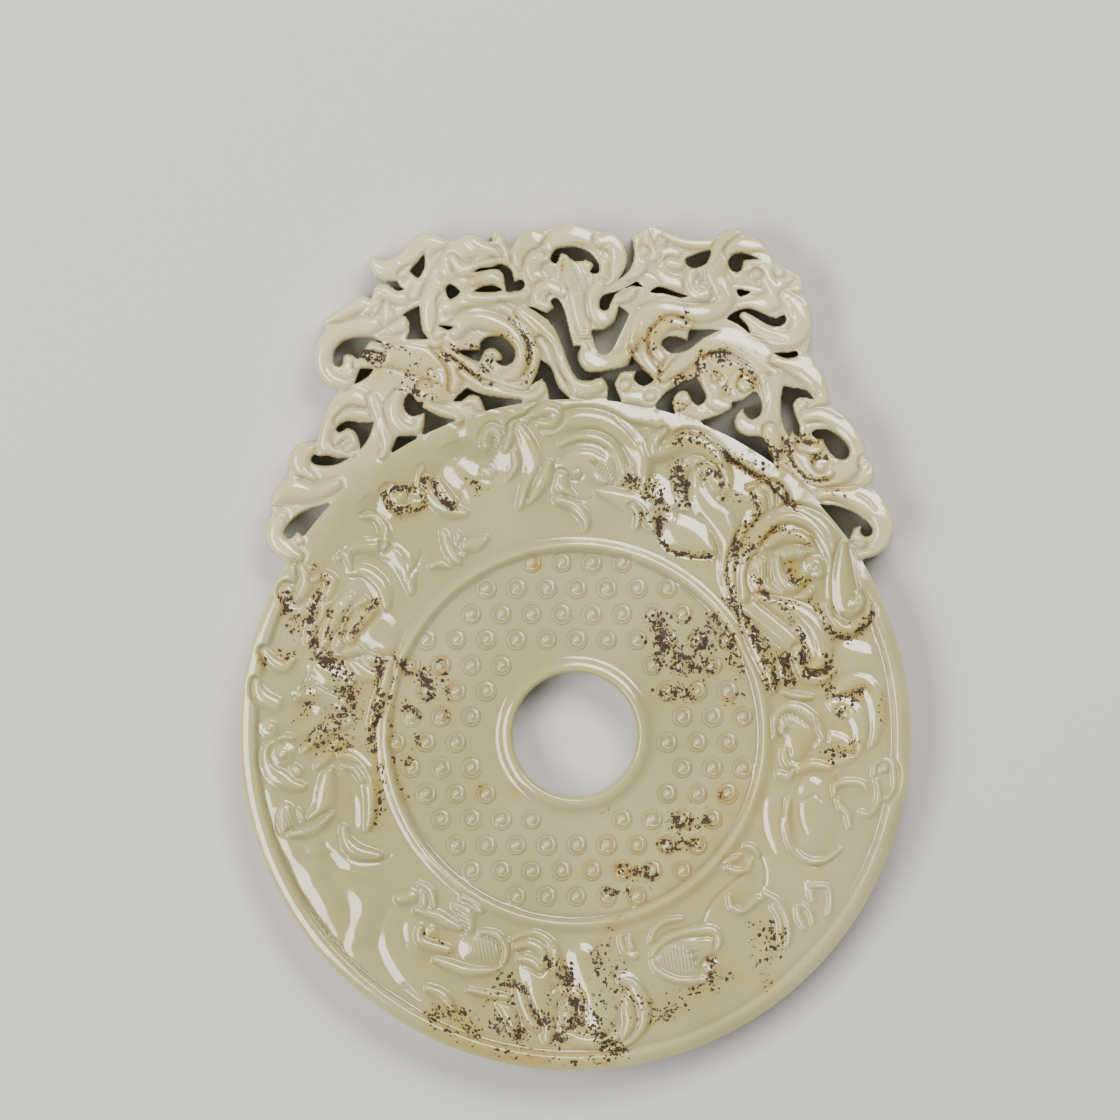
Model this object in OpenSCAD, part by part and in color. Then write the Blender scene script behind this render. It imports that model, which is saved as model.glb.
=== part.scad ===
// Carved jade disc with a pierced dragon crest, cut from one plate of stone.
// It lies on its back: +Z points out of the carved face and +Y points to the crest.
// The origin is on the axis of the centre hole, at the back face.

/* [Disc] */
// Diameter of the disc
disc_d = 70; // [56:1:90]
// Thickness of the plate in its lowest ground, between the carvings
ground_t = 4; // [3:0.1:6]
// Width of the raised rim at the edge of the disc
rim_w = 2; // [1.4:0.1:2.6]
// Height of the rim above the ground
rim_h = 1; // [0.5:0.1:1.6]
// Width of the bevel on both edges of the rim
rim_bevel = 0.45; // [0.2:0.05:0.6]

/* [Centre hole] */
// Diameter of the centre hole
bore_d = 13; // [10:0.5:15]
// Width of the raised lip round the hole
lip_w = 1.8; // [1.2:0.1:2.2]
// Height of the lip above the ground
lip_h = 0.6; // [0.3:0.1:1]

/* [Ring ridge] */
// Diameter of the ridge that parts the grain field from the dragon band
ring_d = 40.4; // [37:0.2:43]
// Width of that ridge
ring_w = 1.3; // [0.8:0.1:1.8]
// Height of that ridge above the ground
ring_h = 0.6; // [0.3:0.1:1]

/* [Grain field] */
// Distance between neighbouring grains along a row
grain_pitch = 3.15; // [2.8:0.05:3.6]
// Diameter of one grain
grain_d = 1.6; // [1.1:0.1:2]
// Height of one grain above the ground
grain_h = 0.45; // [0.2:0.05:0.7]

/* [Dragon band] */
// Height of the dragons above the ground
relief_h = 0.9; // [0.5:0.1:1.4]

/* [Crest] */
// Height of the crest above the top of the disc
crest_h = 18.4; // [14:0.2:23]
// Thickness of the crest
crest_t = 4.2; // [3:0.1:6]
// Height of the heads, limbs and scrolls above the face of the crest
crest_relief_h = 0.5; // [0.2:0.05:0.9]
// Distance that those raised forms keep from the edges of the crest
crest_inset = 0.3; // [0.15:0.05:0.4]

/* [Hidden] */
JADE = [0.72, 0.70, 0.58];
STEPS = 2;
CLEAN = 0.03;
ROW_SHARE = 0.85;
GRAIN_GAP = 0.2;

disc_r = disc_d / 2;
bore_r = bore_d / 2;
lip_r = bore_r + lip_w;
ring_in_r = (ring_d - ring_w) / 2;
ring_out_r = (ring_d + ring_w) / 2;
rim_in_r = disc_r - rim_w;
row_pitch = grain_pitch * ROW_SHARE;
grain_keep = grain_d / 2 + GRAIN_GAP;
sunk = 0.5;

// Drawing sheet: the carvings are drawn with the disc 336 units in radius round this centre,
// x to the right and y down, and the top of the crest 512.5 units above the centre
SHEET_MID = [575, 735];
SHEET_R = 336;
SHEET_TOP = 512.5;
GRAIN_START = [577, 743];
across = disc_r / SHEET_R;
upward = (disc_r + crest_h) / SHEET_TOP;

// Edge of the crest, clockwise from its lower left end: x, y, and 1 at a sharp corner
CREST_EDGE = [
  [300, 600, 1], [284, 561, 1], [273, 554], [266, 543], [265, 531], [268, 519], [272.5, 513.5, 1],
  [268.5, 501], [274, 490], [281, 482], [288.5, 474, 1], [287, 463], [292, 449], [303, 441.5],
  [316, 442, 1], [321, 420], [330, 399], [339, 390, 1], [329, 388], [318, 377], [313, 361],
  [316, 342], [326, 328, 1], [320, 322, 1], [332, 313], [347, 303], [361, 294.5], [371, 298, 1],
  [374, 287], [380, 283], [389, 284.5], [397, 290], [404, 289, 1], [399, 286], [397, 281, 1],
  [384, 281.5], [374, 276], [368.5, 265], [369.5, 254, 1], [379, 259.5], [390, 258.5],
  [401, 250.5], [412, 238], [424, 232], [438, 234.5], [452, 240], [466, 233.5], [476, 234],
  [486, 241], [492, 240.5, 1], [490, 233, 1], [498, 231], [505, 236.5], [510, 250, 1], [514, 241],
  [521, 230.5], [532, 227.5], [545, 229], [560, 223.5], [573, 222.5], [586, 225], [597, 230],
  [611, 230], [621, 237.5], [628, 254], [626, 268], [618, 280, 1], [629, 269.5], [634, 254],
  [631.5, 236, 1], [642, 230], [652, 225], [665, 230], [682, 236], [703, 238], [716, 236],
  [727, 228.5], [738, 227], [748, 237, 1], [758, 238], [766, 244.5], [777, 264.5, 1], [789, 268.5],
  [802, 276, 1], [804, 286], [804, 294, 1], [810, 304], [813.5, 322], [812, 340], [808, 353, 1],
  [818, 364.5], [827, 381], [831, 406, 1], [845, 414.5], [859, 430], [866, 447], [866, 455, 1],
  [873, 463], [875, 474], [871, 486, 1], [884, 498], [893, 513], [895, 530], [888, 548],
  [876, 556.5], [864, 559.5, 1], [850, 600, 1]
];

// Openings cut through the crest: x, y, and 1 at a sharp corner; those that reach the disc run in
// under its rim
CREST_GAPS = [
  // Left wing, between its lowest scroll and the disc
  [[284, 534], [287, 526], [297, 516], [312, 508.5], [335, 503, 1], [318, 545, 1], [304, 536, 1],
   [296, 531.5], [293, 536], [288, 538]],
  // Left wing, long slit and the opening round its inner scroll
  [[311, 460], [314, 455], [320, 457], [326, 455.5], [337, 458.5], [349, 457.5, 1], [337, 463.5],
   [324, 465.5], [314, 463.5]],
  [[336, 430], [339, 425.5], [349, 421], [361, 423.5], [373.5, 422, 1], [368, 437], [360, 449, 1],
   [359, 439], [354, 430.5], [347, 427.5], [340, 431.5]],
  // Round the scroll of the left head's jaw, and below it
  [[333, 361], [335, 350], [345, 340.5], [360, 337.5], [374, 338], [383, 343.5, 1], [371, 340.5],
   [365, 346], [357.5, 359, 1], [351, 354], [343, 355], [342, 364], [337, 366]],
  [[360, 369, 1], [373, 369, 1], [366, 377], [354, 384, 1]],
  // Behind the left head's ear, in its curl and at its back
  [[398, 318, 1], [408, 311.5], [419, 306, 1], [419.5, 316], [422, 331], [428, 338.5, 1],
   [406, 338.5, 1], [409.5, 332], [409, 321], [404, 315]],
  [[410, 271], [417, 263], [424, 254, 1], [424, 267], [418, 277.5, 1]],
  // Left dragon: nostril, open mouth, tongue, cheek
  [[446, 289], [450, 284], [456, 288], [460, 291, 1], [455, 296], [449, 298]],
  [[474, 272, 1], [480, 268], [492, 267], [501, 264], [511, 270], [514, 281.5], [521, 279.5],
   [524.5, 284], [520, 289.5], [506, 291, 1], [504, 275], [498, 268.5], [486, 269.5]],
  [[474, 291, 1], [483, 286.5], [494, 285.5], [503, 290, 1], [487, 291.5]],
  [[438, 325, 1], [453, 326.5, 1], [448, 329.5]],
  // Left dragon: round the spiral of its shoulder, and under its belly
  [[458, 351, 1], [469, 350.5], [480, 350], [481, 342], [490, 336.5], [503, 338], [514, 349],
   [513, 360], [504, 365.5], [495, 360.5, 1], [502, 360], [501, 353], [493, 347], [484, 350],
   [479, 361, 1], [467, 356]],
  [[453, 401, 1], [459, 395], [467, 388, 1], [485, 395.5], [522, 400.5, 1], [522, 406, 1],
   [487, 416, 1], [484, 406], [479, 396], [469, 394.5], [461, 400.5]],
  // Left dragon: between its paw and its hind leg, and under the paw
  [[410, 393, 1], [404.5, 400], [405, 410], [412, 415.5], [424, 412.5, 1], [425, 421],
   [422, 434, 1], [442, 436, 1], [464, 422, 1], [440, 417], [421.5, 407, 1], [423.5, 402, 1],
   [417, 402]],
  [[391, 452, 1], [397.5, 437, 1], [417, 436, 1], [412, 452, 1]],
  // Between the two dragons: top opening for the cord, middle opening, small ones beside it
  [[551, 258], [556, 249.5], [566, 247.5], [578, 247.5], [589, 252], [598, 263], [598, 272.5],
   [590, 272, 1], [594, 264], [586, 259], [576, 261], [566, 253.5], [560, 253], [557, 262],
   [553, 262]],
  [[527, 306, 1], [535, 308], [547, 313], [554, 307], [551, 301], [557, 298], [564, 310],
   [569, 331], [573, 346, 1], [581, 346, 1], [577, 355], [581, 367], [591, 373], [611, 370.5],
   [628, 366], [632, 357, 1], [641, 368], [654, 379.5, 1], [644, 385.5], [635, 380],
   [637, 370, 1], [622, 371], [615, 381], [616, 390], [623, 405, 1], [606, 405, 1], [609, 388],
   [602, 376.5], [590, 380], [578, 378], [569, 362], [560, 337], [548, 319]],
  [[541, 360, 1], [550, 367], [554, 377], [559, 389], [572, 400, 1], [570, 406, 1],
   [549, 406, 1], [549, 391], [542, 378], [529, 387, 1], [537, 375]],
  [[592, 330, 1], [605, 329.5], [616, 320], [619, 306, 1], [629, 313.5, 1], [620, 332],
   [611, 350], [601, 353.5], [595, 343]],
  [[600, 306], [603, 296], [618, 291], [637, 281.5, 1], [645, 288, 1], [633, 285], [614, 294.5],
   [608, 308.5], [602, 309]],
  // Right dragon: brow, ear, mane and chin
  [[650, 292, 1], [659, 286.5], [675, 292], [689, 296, 1], [680, 297], [666, 293]],
  [[686, 259, 1], [698, 253.5], [711.5, 250, 1], [706, 263], [695, 267], [688, 265]],
  [[729, 261], [735, 254.5], [746, 253.5], [760, 259, 1], [744, 259.5], [741, 270.5],
   [732, 270]],
  [[737, 289, 1], [752, 291.5, 1], [740, 296]],
  [[727, 319, 1], [735, 312], [749, 308.5], [764, 314], [777, 318.5], [785, 314.5], [785, 323],
   [773, 326], [758, 318], [745, 311], [739, 316], [747, 325], [751, 334, 1], [738, 323]],
  // Right dragon: under its chest, between its paws and round its tail
  [[690, 330, 1], [705, 329.5], [720, 330, 1], [703, 337], [688, 349], [672, 352.5],
   [662, 344], [668, 337], [680, 337.5], [688, 341, 1]],
  [[773, 352.5, 1], [786, 353], [797, 351, 1], [798, 355.5], [786, 357.5]],
  [[656, 405.5, 1], [668, 392], [681, 384.5], [697, 378, 1], [702, 388], [706, 398],
   [699, 405], [693, 401], [688, 391], [678, 391.5], [672, 402], [676, 416, 1], [658, 416, 1]],
  [[701, 421, 1], [722, 414.5], [733, 408], [732, 402, 1], [745, 400.5], [754, 391.5],
   [761, 400], [761, 413], [752, 419], [745, 413], [744, 408, 1], [736, 414], [735, 427],
   [745, 436], [763, 437.5, 1], [768, 450], [776, 467, 1], [760, 476, 1], [715, 440, 1]],
  // Right wing, from its inner scroll out to its lowest one
  [[784, 386, 1], [795, 388.5], [807, 390.5], [814, 399, 1], [800, 396.5], [793, 404],
   [796, 417], [800, 426], [799, 437, 1], [792, 430, 1], [790, 437, 1], [783, 420],
   [782, 402]],
  [[812, 433], [820, 429.5], [831, 431], [844, 441], [850, 451], [846, 458.5], [836, 457.5],
   [828, 448], [824, 438.5, 1], [817, 438]],
  [[812, 505, 1], [835, 506], [856, 513.5], [869, 524], [873, 531], [869, 536], [862, 534],
   [862, 526, 1], [854, 528], [849, 541, 1], [838, 556, 1], [812, 520, 1]]
];

// Bodies, limbs and scrolls of the band's dragons, clockwise from the top: x, y, half width
BAND_BODIES = [
  [[548, 430, 6], [572, 423, 8], [600, 426, 9], [622, 443, 10], [635, 468, 9], [636, 490, 5]],
  [[562, 474, 11], [580, 463, 16], [603, 470, 15], [607, 480, 8]],
  [[560, 497, 7], [575, 508, 8], [584, 520, 5]],
  [[600, 496, 6], [620, 503, 10], [638, 513, 9], [650, 524, 4]],
  [[664, 434, 3], [656, 443, 5], [662, 454, 5], [674, 450, 5], [692, 448, 5], [710, 458, 6],
   [720, 476, 6], [722, 493, 4]],
  [[684, 466, 5], [681, 482, 6], [685, 498, 6], [693, 511, 4]],
  [[698, 470, 6], [697, 488, 5], [702, 505, 7], [720, 521, 9], [730, 540, 8], [729, 562, 6],
   [734, 584, 5], [747, 600, 4]],
  [[668, 521, 6], [680, 532, 12], [695, 541, 11], [708, 548, 5]],
  [[747, 488, 2], [756, 485, 3], [763, 494, 5], [764, 510, 7], [757, 528, 8], [745, 548, 7],
   [738, 570, 5]],
  [[770, 482, 3], [777, 494, 3], [772, 512, 3]],
  [[762, 548, 4], [774, 526, 5], [792, 518, 6], [812, 524, 7], [827, 542, 7], [833, 566, 6],
   [833, 592, 5]],
  [[768, 546, 5], [782, 537, 7], [800, 539, 7], [812, 553, 5]],
  [[778, 562, 4], [782, 582, 5], [791, 590, 5], [802, 582, 4]],
  [[760, 563, 6], [760, 583, 7], [774, 598, 6], [796, 601, 6], [810, 589, 5]],
  [[816, 566, 8], [818, 572, 6]],
  [[845, 560, 6], [845, 585, 8], [848, 606, 9], [860, 610, 5]],
  [[826, 606, 4], [834, 623, 5], [850, 629, 5], [866, 618, 3]],
  [[742, 604, 4], [762, 618, 6], [782, 634, 8], [796, 648, 6]],
  [[760, 596, 3], [782, 608, 6], [804, 622, 9], [818, 640, 9], [820, 658, 7], [810, 667, 4]],
  [[798, 652, 3], [798, 668, 3], [808, 679, 4], [824, 680, 4], [834, 674, 3]],
  [[744, 624, 4], [756, 646, 6], [768, 668, 6], [776, 686, 4]],
  [[786, 660, 3], [789, 674, 4], [800, 688, 4], [815, 692, 3]],
  [[785, 718, 9], [800, 722, 13], [806, 738, 10], [792, 755, 9], [786, 765, 6]],
  [[847, 692, 6], [860, 691, 8], [872, 706, 7], [877, 726, 5], [874, 744, 3]],
  [[834, 704, 5], [843, 713, 8], [853, 727, 6], [858, 742, 5], [850, 757, 4], [834, 762, 3]],
  [[822, 741, 4], [836, 744, 6], [844, 748, 4]],
  [[812, 776, 6], [830, 782, 9], [836, 800, 9], [830, 830, 10], [815, 850, 9], [797, 848, 7],
   [790, 825, 6], [792, 800, 5]],
  [[812, 800, 7], [811, 820, 8], [817, 834, 5]],
  [[844, 791, 7], [860, 791, 9], [869, 800, 8], [864, 811, 4]],
  [[884, 768, 7], [888, 782, 6], [882, 800, 5]],
  [[772, 800, 3], [773, 830, 6], [783, 856, 7], [800, 874, 6], [818, 880, 4]],
  [[738, 856, 8], [742, 868, 7], [730, 867, 5]],
  [[812, 892, 5], [816, 906, 9], [806, 920, 6]],
  [[716, 912, 8], [736, 910, 12], [762, 912, 11], [776, 930, 9], [774, 950, 6]],
  [[662, 952, 9], [684, 950, 14], [704, 944, 10], [714, 938, 6]],
  [[660, 976, 5], [684, 980, 6], [706, 972, 7], [716, 964, 5]],
  [[608, 994, 5], [616, 985, 6], [630, 985, 7], [641, 1000, 8], [644, 1018, 7], [634, 1036, 6],
   [616, 1046, 4]],
  [[584, 962, 12], [594, 985, 14], [602, 1008, 14], [604, 1022, 9]],
  [[552, 1000, 4], [556, 991, 5], [568, 990, 5], [576, 1002, 5], [574, 1026, 4], [590, 1041, 4],
   [610, 1040, 3]],
  [[562, 1000, 6], [562, 1012, 6]],
  [[530, 972, 9], [536, 998, 11], [541, 1024, 9], [548, 1038, 5]],
  [[500, 1004, 6], [514, 1016, 7], [520, 1034, 6]],
  [[518, 943, 6], [536, 946, 8], [549, 957, 6], [550, 968, 4]],
  [[476, 944, 8], [488, 948, 13], [494, 950, 10]],
  [[424, 926, 7], [444, 934, 7], [462, 946, 6]],
  [[408, 902, 6], [424, 900, 7], [440, 906, 6], [456, 914, 6]],
  [[396, 910, 6], [389, 930, 8], [391, 950, 8], [404, 972, 9], [422, 992, 7], [432, 1008, 4]],
  [[412, 960, 6], [430, 972, 9], [456, 982, 9], [482, 984, 6]],
  [[334, 880, 5], [347, 895, 7], [355, 915, 8], [348, 938, 7], [352, 958, 5], [372, 980, 4]],
  [[300, 866, 7], [315, 886, 6], [328, 908, 6], [334, 930, 4]],
  [[330, 846, 5], [342, 862, 8], [362, 872, 8], [388, 870, 7], [408, 874, 4]],
  [[314, 816, 4], [322, 796, 6], [327, 776, 7], [342, 764, 7], [358, 772, 7], [364, 792, 6],
   [366, 816, 5], [362, 834, 4]],
  [[346, 800, 5], [349, 822, 7], [358, 838, 6], [376, 844, 5]],
  [[288, 736, 4], [273, 746, 6], [270, 764, 6], [283, 778, 6], [300, 786, 3]],
  [[283, 754, 7], [284, 755, 6]],
  [[270, 728, 6], [271, 729, 5]],
  [[286, 812, 4], [286, 828, 6], [300, 836, 5], [318, 832, 4]],
  [[266, 672, 6], [276, 690, 8], [270, 706, 6]],
  [[312, 662, 3], [306, 680, 4], [294, 698, 4]],
  [[330, 716, 6], [352, 706, 6], [368, 686, 6]],
  [[312, 742, 4], [330, 726, 6], [348, 722, 5]],
  [[304, 596, 3], [306, 582, 4], [318, 576, 4], [327, 586, 4], [318, 606, 4], [310, 628, 4]],
  [[336, 606, 4], [326, 622, 4], [320, 642, 3]],
  [[348, 604, 4], [340, 622, 4], [332, 642, 3]],
  [[350, 556, 5], [370, 552, 6], [390, 558, 6], [403, 572, 6], [406, 592, 5]],
  [[362, 578, 5], [374, 588, 7], [370, 604, 10], [362, 626, 10], [376, 640, 7]],
  [[352, 654, 4], [366, 660, 6], [380, 668, 4]],
  [[400, 490, 7], [404, 502, 7], [416, 500, 5]],
  [[430, 484, 4], [440, 498, 6], [452, 507, 5]],
  [[458, 462, 5], [460, 476, 7], [474, 486, 8], [494, 482, 10], [504, 464, 10], [500, 448, 8]],
  [[462, 441, 5], [476, 446, 6], [486, 454, 5]],
  [[488, 436, 6], [496, 438, 6]],
  [[512, 424, 5], [508, 440, 5], [504, 450, 4]],
  [[522, 432, 5], [528, 450, 6], [531, 470, 6], [524, 490, 6], [516, 502, 4]],
  [[548, 466, 4], [542, 482, 5], [534, 496, 3]],
  [[446, 536, 4], [452, 550, 5], [458, 562, 3]],
  [[464, 540, 4], [478, 545, 5], [486, 540, 3]]
];

// Bodies, limbs and scrolls on the face of the crest, from left to right: x, y, half width
CREST_BODIES = [
  [[290, 470, 8], [298, 458, 10], [316, 450, 7]],
  [[282, 498, 9], [296, 496, 10], [316, 490, 8]],
  [[276, 530, 7], [279, 544, 8], [292, 550, 6]],
  [[331, 424, 9], [345, 404, 12], [364, 400, 12], [376, 412, 8]],
  [[344, 440, 6], [352, 444, 5]],
  [[326, 320, 4], [344, 312, 8], [366, 310, 11], [390, 318, 8]],
  [[324, 344, 8], [322, 364, 8], [334, 379, 7], [350, 376, 4]],
  [[378, 270, 6], [396, 264, 7], [412, 250, 8], [432, 242, 7], [446, 246, 6]],
  [[386, 404, 8], [392, 384, 12], [414, 368, 18], [440, 364, 16], [452, 380, 9], [444, 404, 6]],
  [[394, 420, 8], [406, 425, 8], [418, 421, 5]],
  [[432, 334, 7], [434, 310, 9], [442, 276, 9], [462, 254, 10], [486, 252, 8], [500, 247, 7]],
  [[474, 280, 4], [488, 278, 4], [500, 281, 3]],
  [[446, 306, 7], [472, 308, 9], [500, 314, 9], [524, 334, 9], [532, 358, 7], [520, 374, 7],
   [496, 378, 7], [486, 366, 5]],
  [[530, 316, 5], [546, 334, 6], [560, 356, 6], [570, 376, 6], [588, 388, 5]],
  [[524, 244, 9], [540, 244, 9], [560, 237, 7], [590, 240, 7], [612, 246, 9], [612, 262, 6]],
  [[568, 270, 5], [580, 282, 7], [580, 308, 6], [580, 326, 6], [580, 338, 6]],
  [[536, 296, 7], [544, 290, 5]],
  [[640, 246, 6], [650, 240, 8], [664, 243, 8], [678, 250, 7], [690, 248, 5]],
  [[724, 242, 7], [722, 262, 8], [712, 286, 8], [690, 304, 8], [664, 306, 8], [648, 316, 8],
   [636, 338, 6], [644, 360, 6]],
  [[588, 360, 5], [606, 362, 6], [624, 356, 4]],
  [[752, 250, 7], [762, 264, 9], [776, 276, 9], [792, 288, 6], [800, 312, 6], [796, 336, 6],
   [772, 342, 5], [752, 340, 4]],
  [[706, 354, 7], [728, 346, 8], [752, 356, 9], [768, 376, 8], [772, 402, 7], [770, 424, 5],
   [752, 429, 6], [740, 420, 4]],
  [[744, 382, 9], [740, 388, 6]],
  [[716, 378, 6], [716, 398, 6], [724, 404, 3]],
  [[806, 372, 8], [816, 390, 8], [820, 416, 7], [842, 426, 7], [856, 444, 6]],
  [[806, 452, 6], [814, 466, 8], [828, 466, 6]],
  [[862, 470, 7], [864, 476, 5]],
  [[852, 498, 6], [872, 508, 7], [884, 524, 7], [880, 542, 7], [864, 545, 5]],
  [[626, 384, 7], [640, 392, 6], [652, 396, 5]]
];

// Jade pendant

// Place of a drawing-sheet point on the plate
function placed(p) = [(p[0] - SHEET_MID[0]) * across, (SHEET_MID[1] - p[1]) * upward];
function placed_in_disc(p) = [p[0] - SHEET_MID[0], SHEET_MID[1] - p[1]] * across;
function sharp(p) = len(p) > 2 && p[2] == 1;

// Smooth run from b to c, where a and d are the points before and after them
function eased(a, b, c, d, t) =
  b + (c - a) * (t - 2 * t * t + t * t * t) / 2
    + (c - b) * (3 * t * t - 2 * t * t * t)
    - (d - b) * (t * t - t * t * t) / 2;

// Closed outline through the points, smooth except at the sharp ones
function smooth_loop(points) =
  let (n = len(points), at = [for (p = points) placed(p)])
  [for (i = [0 : n - 1])
     let (
       j = (i + 1) % n,
       before = sharp(points[i]) ? at[i] : at[(i + n - 1) % n],
       after = sharp(points[j]) ? at[j] : at[(i + 2) % n],
       straight = sharp(points[i]) && sharp(points[j])
     )
     for (k = [0 : straight ? 0 : STEPS - 1])
       straight ? at[i] : eased(before, at[i], at[j], after, k / STEPS)];

// Open centre line through the points of a body, with its half width as third value
function smooth_run(at) =
  let (n = len(at))
  [for (i = [0 : n - 2], k = [0 : i == n - 2 ? STEPS : STEPS - 1])
     eased(at[max(i - 1, 0)], at[i], at[i + 1], at[min(i + 2, n - 1)], k / STEPS)];

function side_of(run, i) =
  let (
    a = run[max(i - 1, 0)],
    b = run[min(i + 1, len(run) - 1)],
    along = [b[0] - a[0], b[1] - a[1]]
  )
  [-along[1], along[0]] / norm(along);

// Flat shape of one body: a band that follows its centre line, with round ends
module body_shape(at) {
  run = smooth_run(at);
  left = [for (i = [0 : len(run) - 1]) [run[i][0], run[i][1]] + side_of(run, i) * run[i][2]];
  right = [for (i = [0 : len(run) - 1]) [run[i][0], run[i][1]] - side_of(run, i) * run[i][2]];
  for (i = [0 : len(run) - 2]) polygon([left[i], left[i + 1], right[i + 1], right[i]]);
  for (p = [at[0], at[len(at) - 1]]) translate([p[0], p[1]]) circle(r = p[2], $fn = 12);
}

module crest_shape() {
  difference() {
    polygon(smooth_loop(CREST_EDGE));
    for (gap = CREST_GAPS) polygon(smooth_loop(gap));
    circle(r = disc_r - rim_w / 2, $fn = 180);
  }
}

module crest_bodies_shape() {
  for (row = CREST_BODIES) body_shape([for (p = row) concat(placed(p), [p[2] * across])]);
}

module band_bodies_shape() {
  for (row = BAND_BODIES) body_shape([for (p = row) concat(placed_in_disc(p), [p[2] * across])]);
}

module band_ring_shape() {
  difference() {
    circle(r = rim_in_r + rim_bevel / 2, $fn = 180);
    circle(r = ring_out_r - ring_w / 8, $fn = 180);
  }
}

// Turned plate: ground, rim, ring ridge and lip, as one section
module plate() {
  top = ground_t + rim_h;
  ring_top = ground_t + ring_h;
  lip_top = ground_t + lip_h;
  rotate_extrude($fn = 180)
    polygon([
      [bore_r / 2, 0], [disc_r - rim_bevel, 0], [disc_r, rim_bevel], [disc_r, top - rim_bevel],
      [disc_r - rim_bevel, top], [rim_in_r + rim_bevel, top], [rim_in_r, ground_t],
      [ring_out_r, ground_t], [ring_out_r - ring_w / 4, ring_top],
      [ring_in_r + ring_w / 4, ring_top], [ring_in_r, ground_t], [lip_r, ground_t],
      [lip_r - lip_w / 5, lip_top], [bore_r + lip_w / 4, lip_top], [bore_r, lip_top - lip_w / 4],
      [bore_r / 2, lip_top - lip_w / 4]
    ]);
}

// Pierced crest, with its heads, limbs and scrolls raised on its face
module crest() {
  linear_extrude(crest_t) offset(delta = -CLEAN) crest_shape();
  translate([0, 0, crest_t - sunk])
    linear_extrude(crest_relief_h + sunk)
      offset(delta = -CLEAN)
        intersection() {
          crest_bodies_shape();
          offset(delta = -crest_inset) crest_shape();
        }
}

// Dragons of the band, raised between the ring ridge and the rim
module band() {
  translate([0, 0, ground_t - sunk])
    linear_extrude(relief_h + sunk)
      offset(delta = -CLEAN)
        intersection() {
          band_bodies_shape();
          band_ring_shape();
        }
}

// One grain: the cap of a ball whose edge meets the ground
module grain() {
  ball_r = (grain_d * grain_d / 4 + grain_h * grain_h) / (2 * grain_h);
  translate([0, 0, ground_t + grain_h - ball_r]) sphere(r = ball_r, $fn = 32);
}

// Grains stand in rows, each row half a pitch beside the last, and keep clear of lip and ridge
module grains() {
  start = placed_in_disc(GRAIN_START);
  reach = ceil(ring_in_r / row_pitch) + 1;
  for (row = [-reach : reach], place = [-reach : reach]) {
    at = start + [(place + (abs(row) % 2) / 2) * grain_pitch, row * row_pitch];
    if (norm(at) > lip_r + grain_keep && norm(at) < ring_in_r - grain_keep)
      translate([at[0], at[1], 0]) grain();
  }
}

module jade_pendant() {
  color(JADE)
    difference() {
      union() {
        plate();
        crest();
        band();
        grains();
      }
      translate([0, 0, -sunk]) cylinder(r = bore_r, h = ground_t + lip_h + 2 * sunk, $fn = 96);
    }
}

jade_pendant();
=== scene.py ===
# %% [markdown]
# # A carved jade disc pendant
#
# The real thing is one plate of pale jade about 5 mm thick. A carver saws its outline, drills and
# files the openings of the crest, then grinds the front down round the dragons, the rim and the
# grains, and polishes all of it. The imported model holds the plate, its openings and the flat-topped
# relief. This lesson gives it the round, polished carving and the stained stone.
#
# Low relief could be modelled by subdivision or sculpting. A height map drawn in code is closer to
# how the carver works: every stroke presses a form into the face of the plate, later strokes lie
# over earlier ones, and the finished map becomes one closed mesh.

import math

import bpy
import mathutils
import numpy as np
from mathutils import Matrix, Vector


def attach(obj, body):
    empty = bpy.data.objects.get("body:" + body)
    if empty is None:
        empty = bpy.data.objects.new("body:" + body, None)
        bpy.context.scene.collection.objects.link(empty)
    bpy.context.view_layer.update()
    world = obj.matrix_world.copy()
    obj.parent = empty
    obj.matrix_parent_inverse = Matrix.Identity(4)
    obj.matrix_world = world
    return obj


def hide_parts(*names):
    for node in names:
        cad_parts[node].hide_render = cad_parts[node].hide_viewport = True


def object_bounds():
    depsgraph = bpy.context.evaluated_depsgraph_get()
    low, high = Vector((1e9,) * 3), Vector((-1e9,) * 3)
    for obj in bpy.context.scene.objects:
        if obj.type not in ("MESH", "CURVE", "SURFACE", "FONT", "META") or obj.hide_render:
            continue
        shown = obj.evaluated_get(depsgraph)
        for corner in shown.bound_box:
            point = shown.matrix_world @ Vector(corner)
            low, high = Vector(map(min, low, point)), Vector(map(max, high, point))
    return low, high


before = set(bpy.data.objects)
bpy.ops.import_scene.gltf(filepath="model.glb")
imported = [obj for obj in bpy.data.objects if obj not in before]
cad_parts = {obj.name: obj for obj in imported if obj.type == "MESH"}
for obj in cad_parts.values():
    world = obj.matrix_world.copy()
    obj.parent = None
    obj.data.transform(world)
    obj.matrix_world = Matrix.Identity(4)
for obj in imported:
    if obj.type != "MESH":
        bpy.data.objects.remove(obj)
CAD_BOX = [list(corner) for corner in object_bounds()]
print("packed pendant, mm:", [round(1000 * (b - a), 2) for a, b in zip(*CAD_BOX)])

# %% [markdown]
# ## The drawing sheet
#
# The carving is charted on a sheet where the disc is 336 units in radius, x to the right and y down.
# The disc's real radius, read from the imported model, turns sheet units into metres. The height map is
# a grid of samples over that sheet. Its rows run from the bottom up, so that a cell's corners go
# round anticlockwise in the finished mesh as well.

# %% Sheet and height map
DISC_R = CAD_BOX[1][0]
SHEET_MID = (575.0, 735.0)
SHEET_R = 336.0
UNIT = DISC_R / SHEET_R
MM = UNIT * 1000
STEP = 1.15
MARGIN = 3
EDGE_REACH = 26.0

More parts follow.
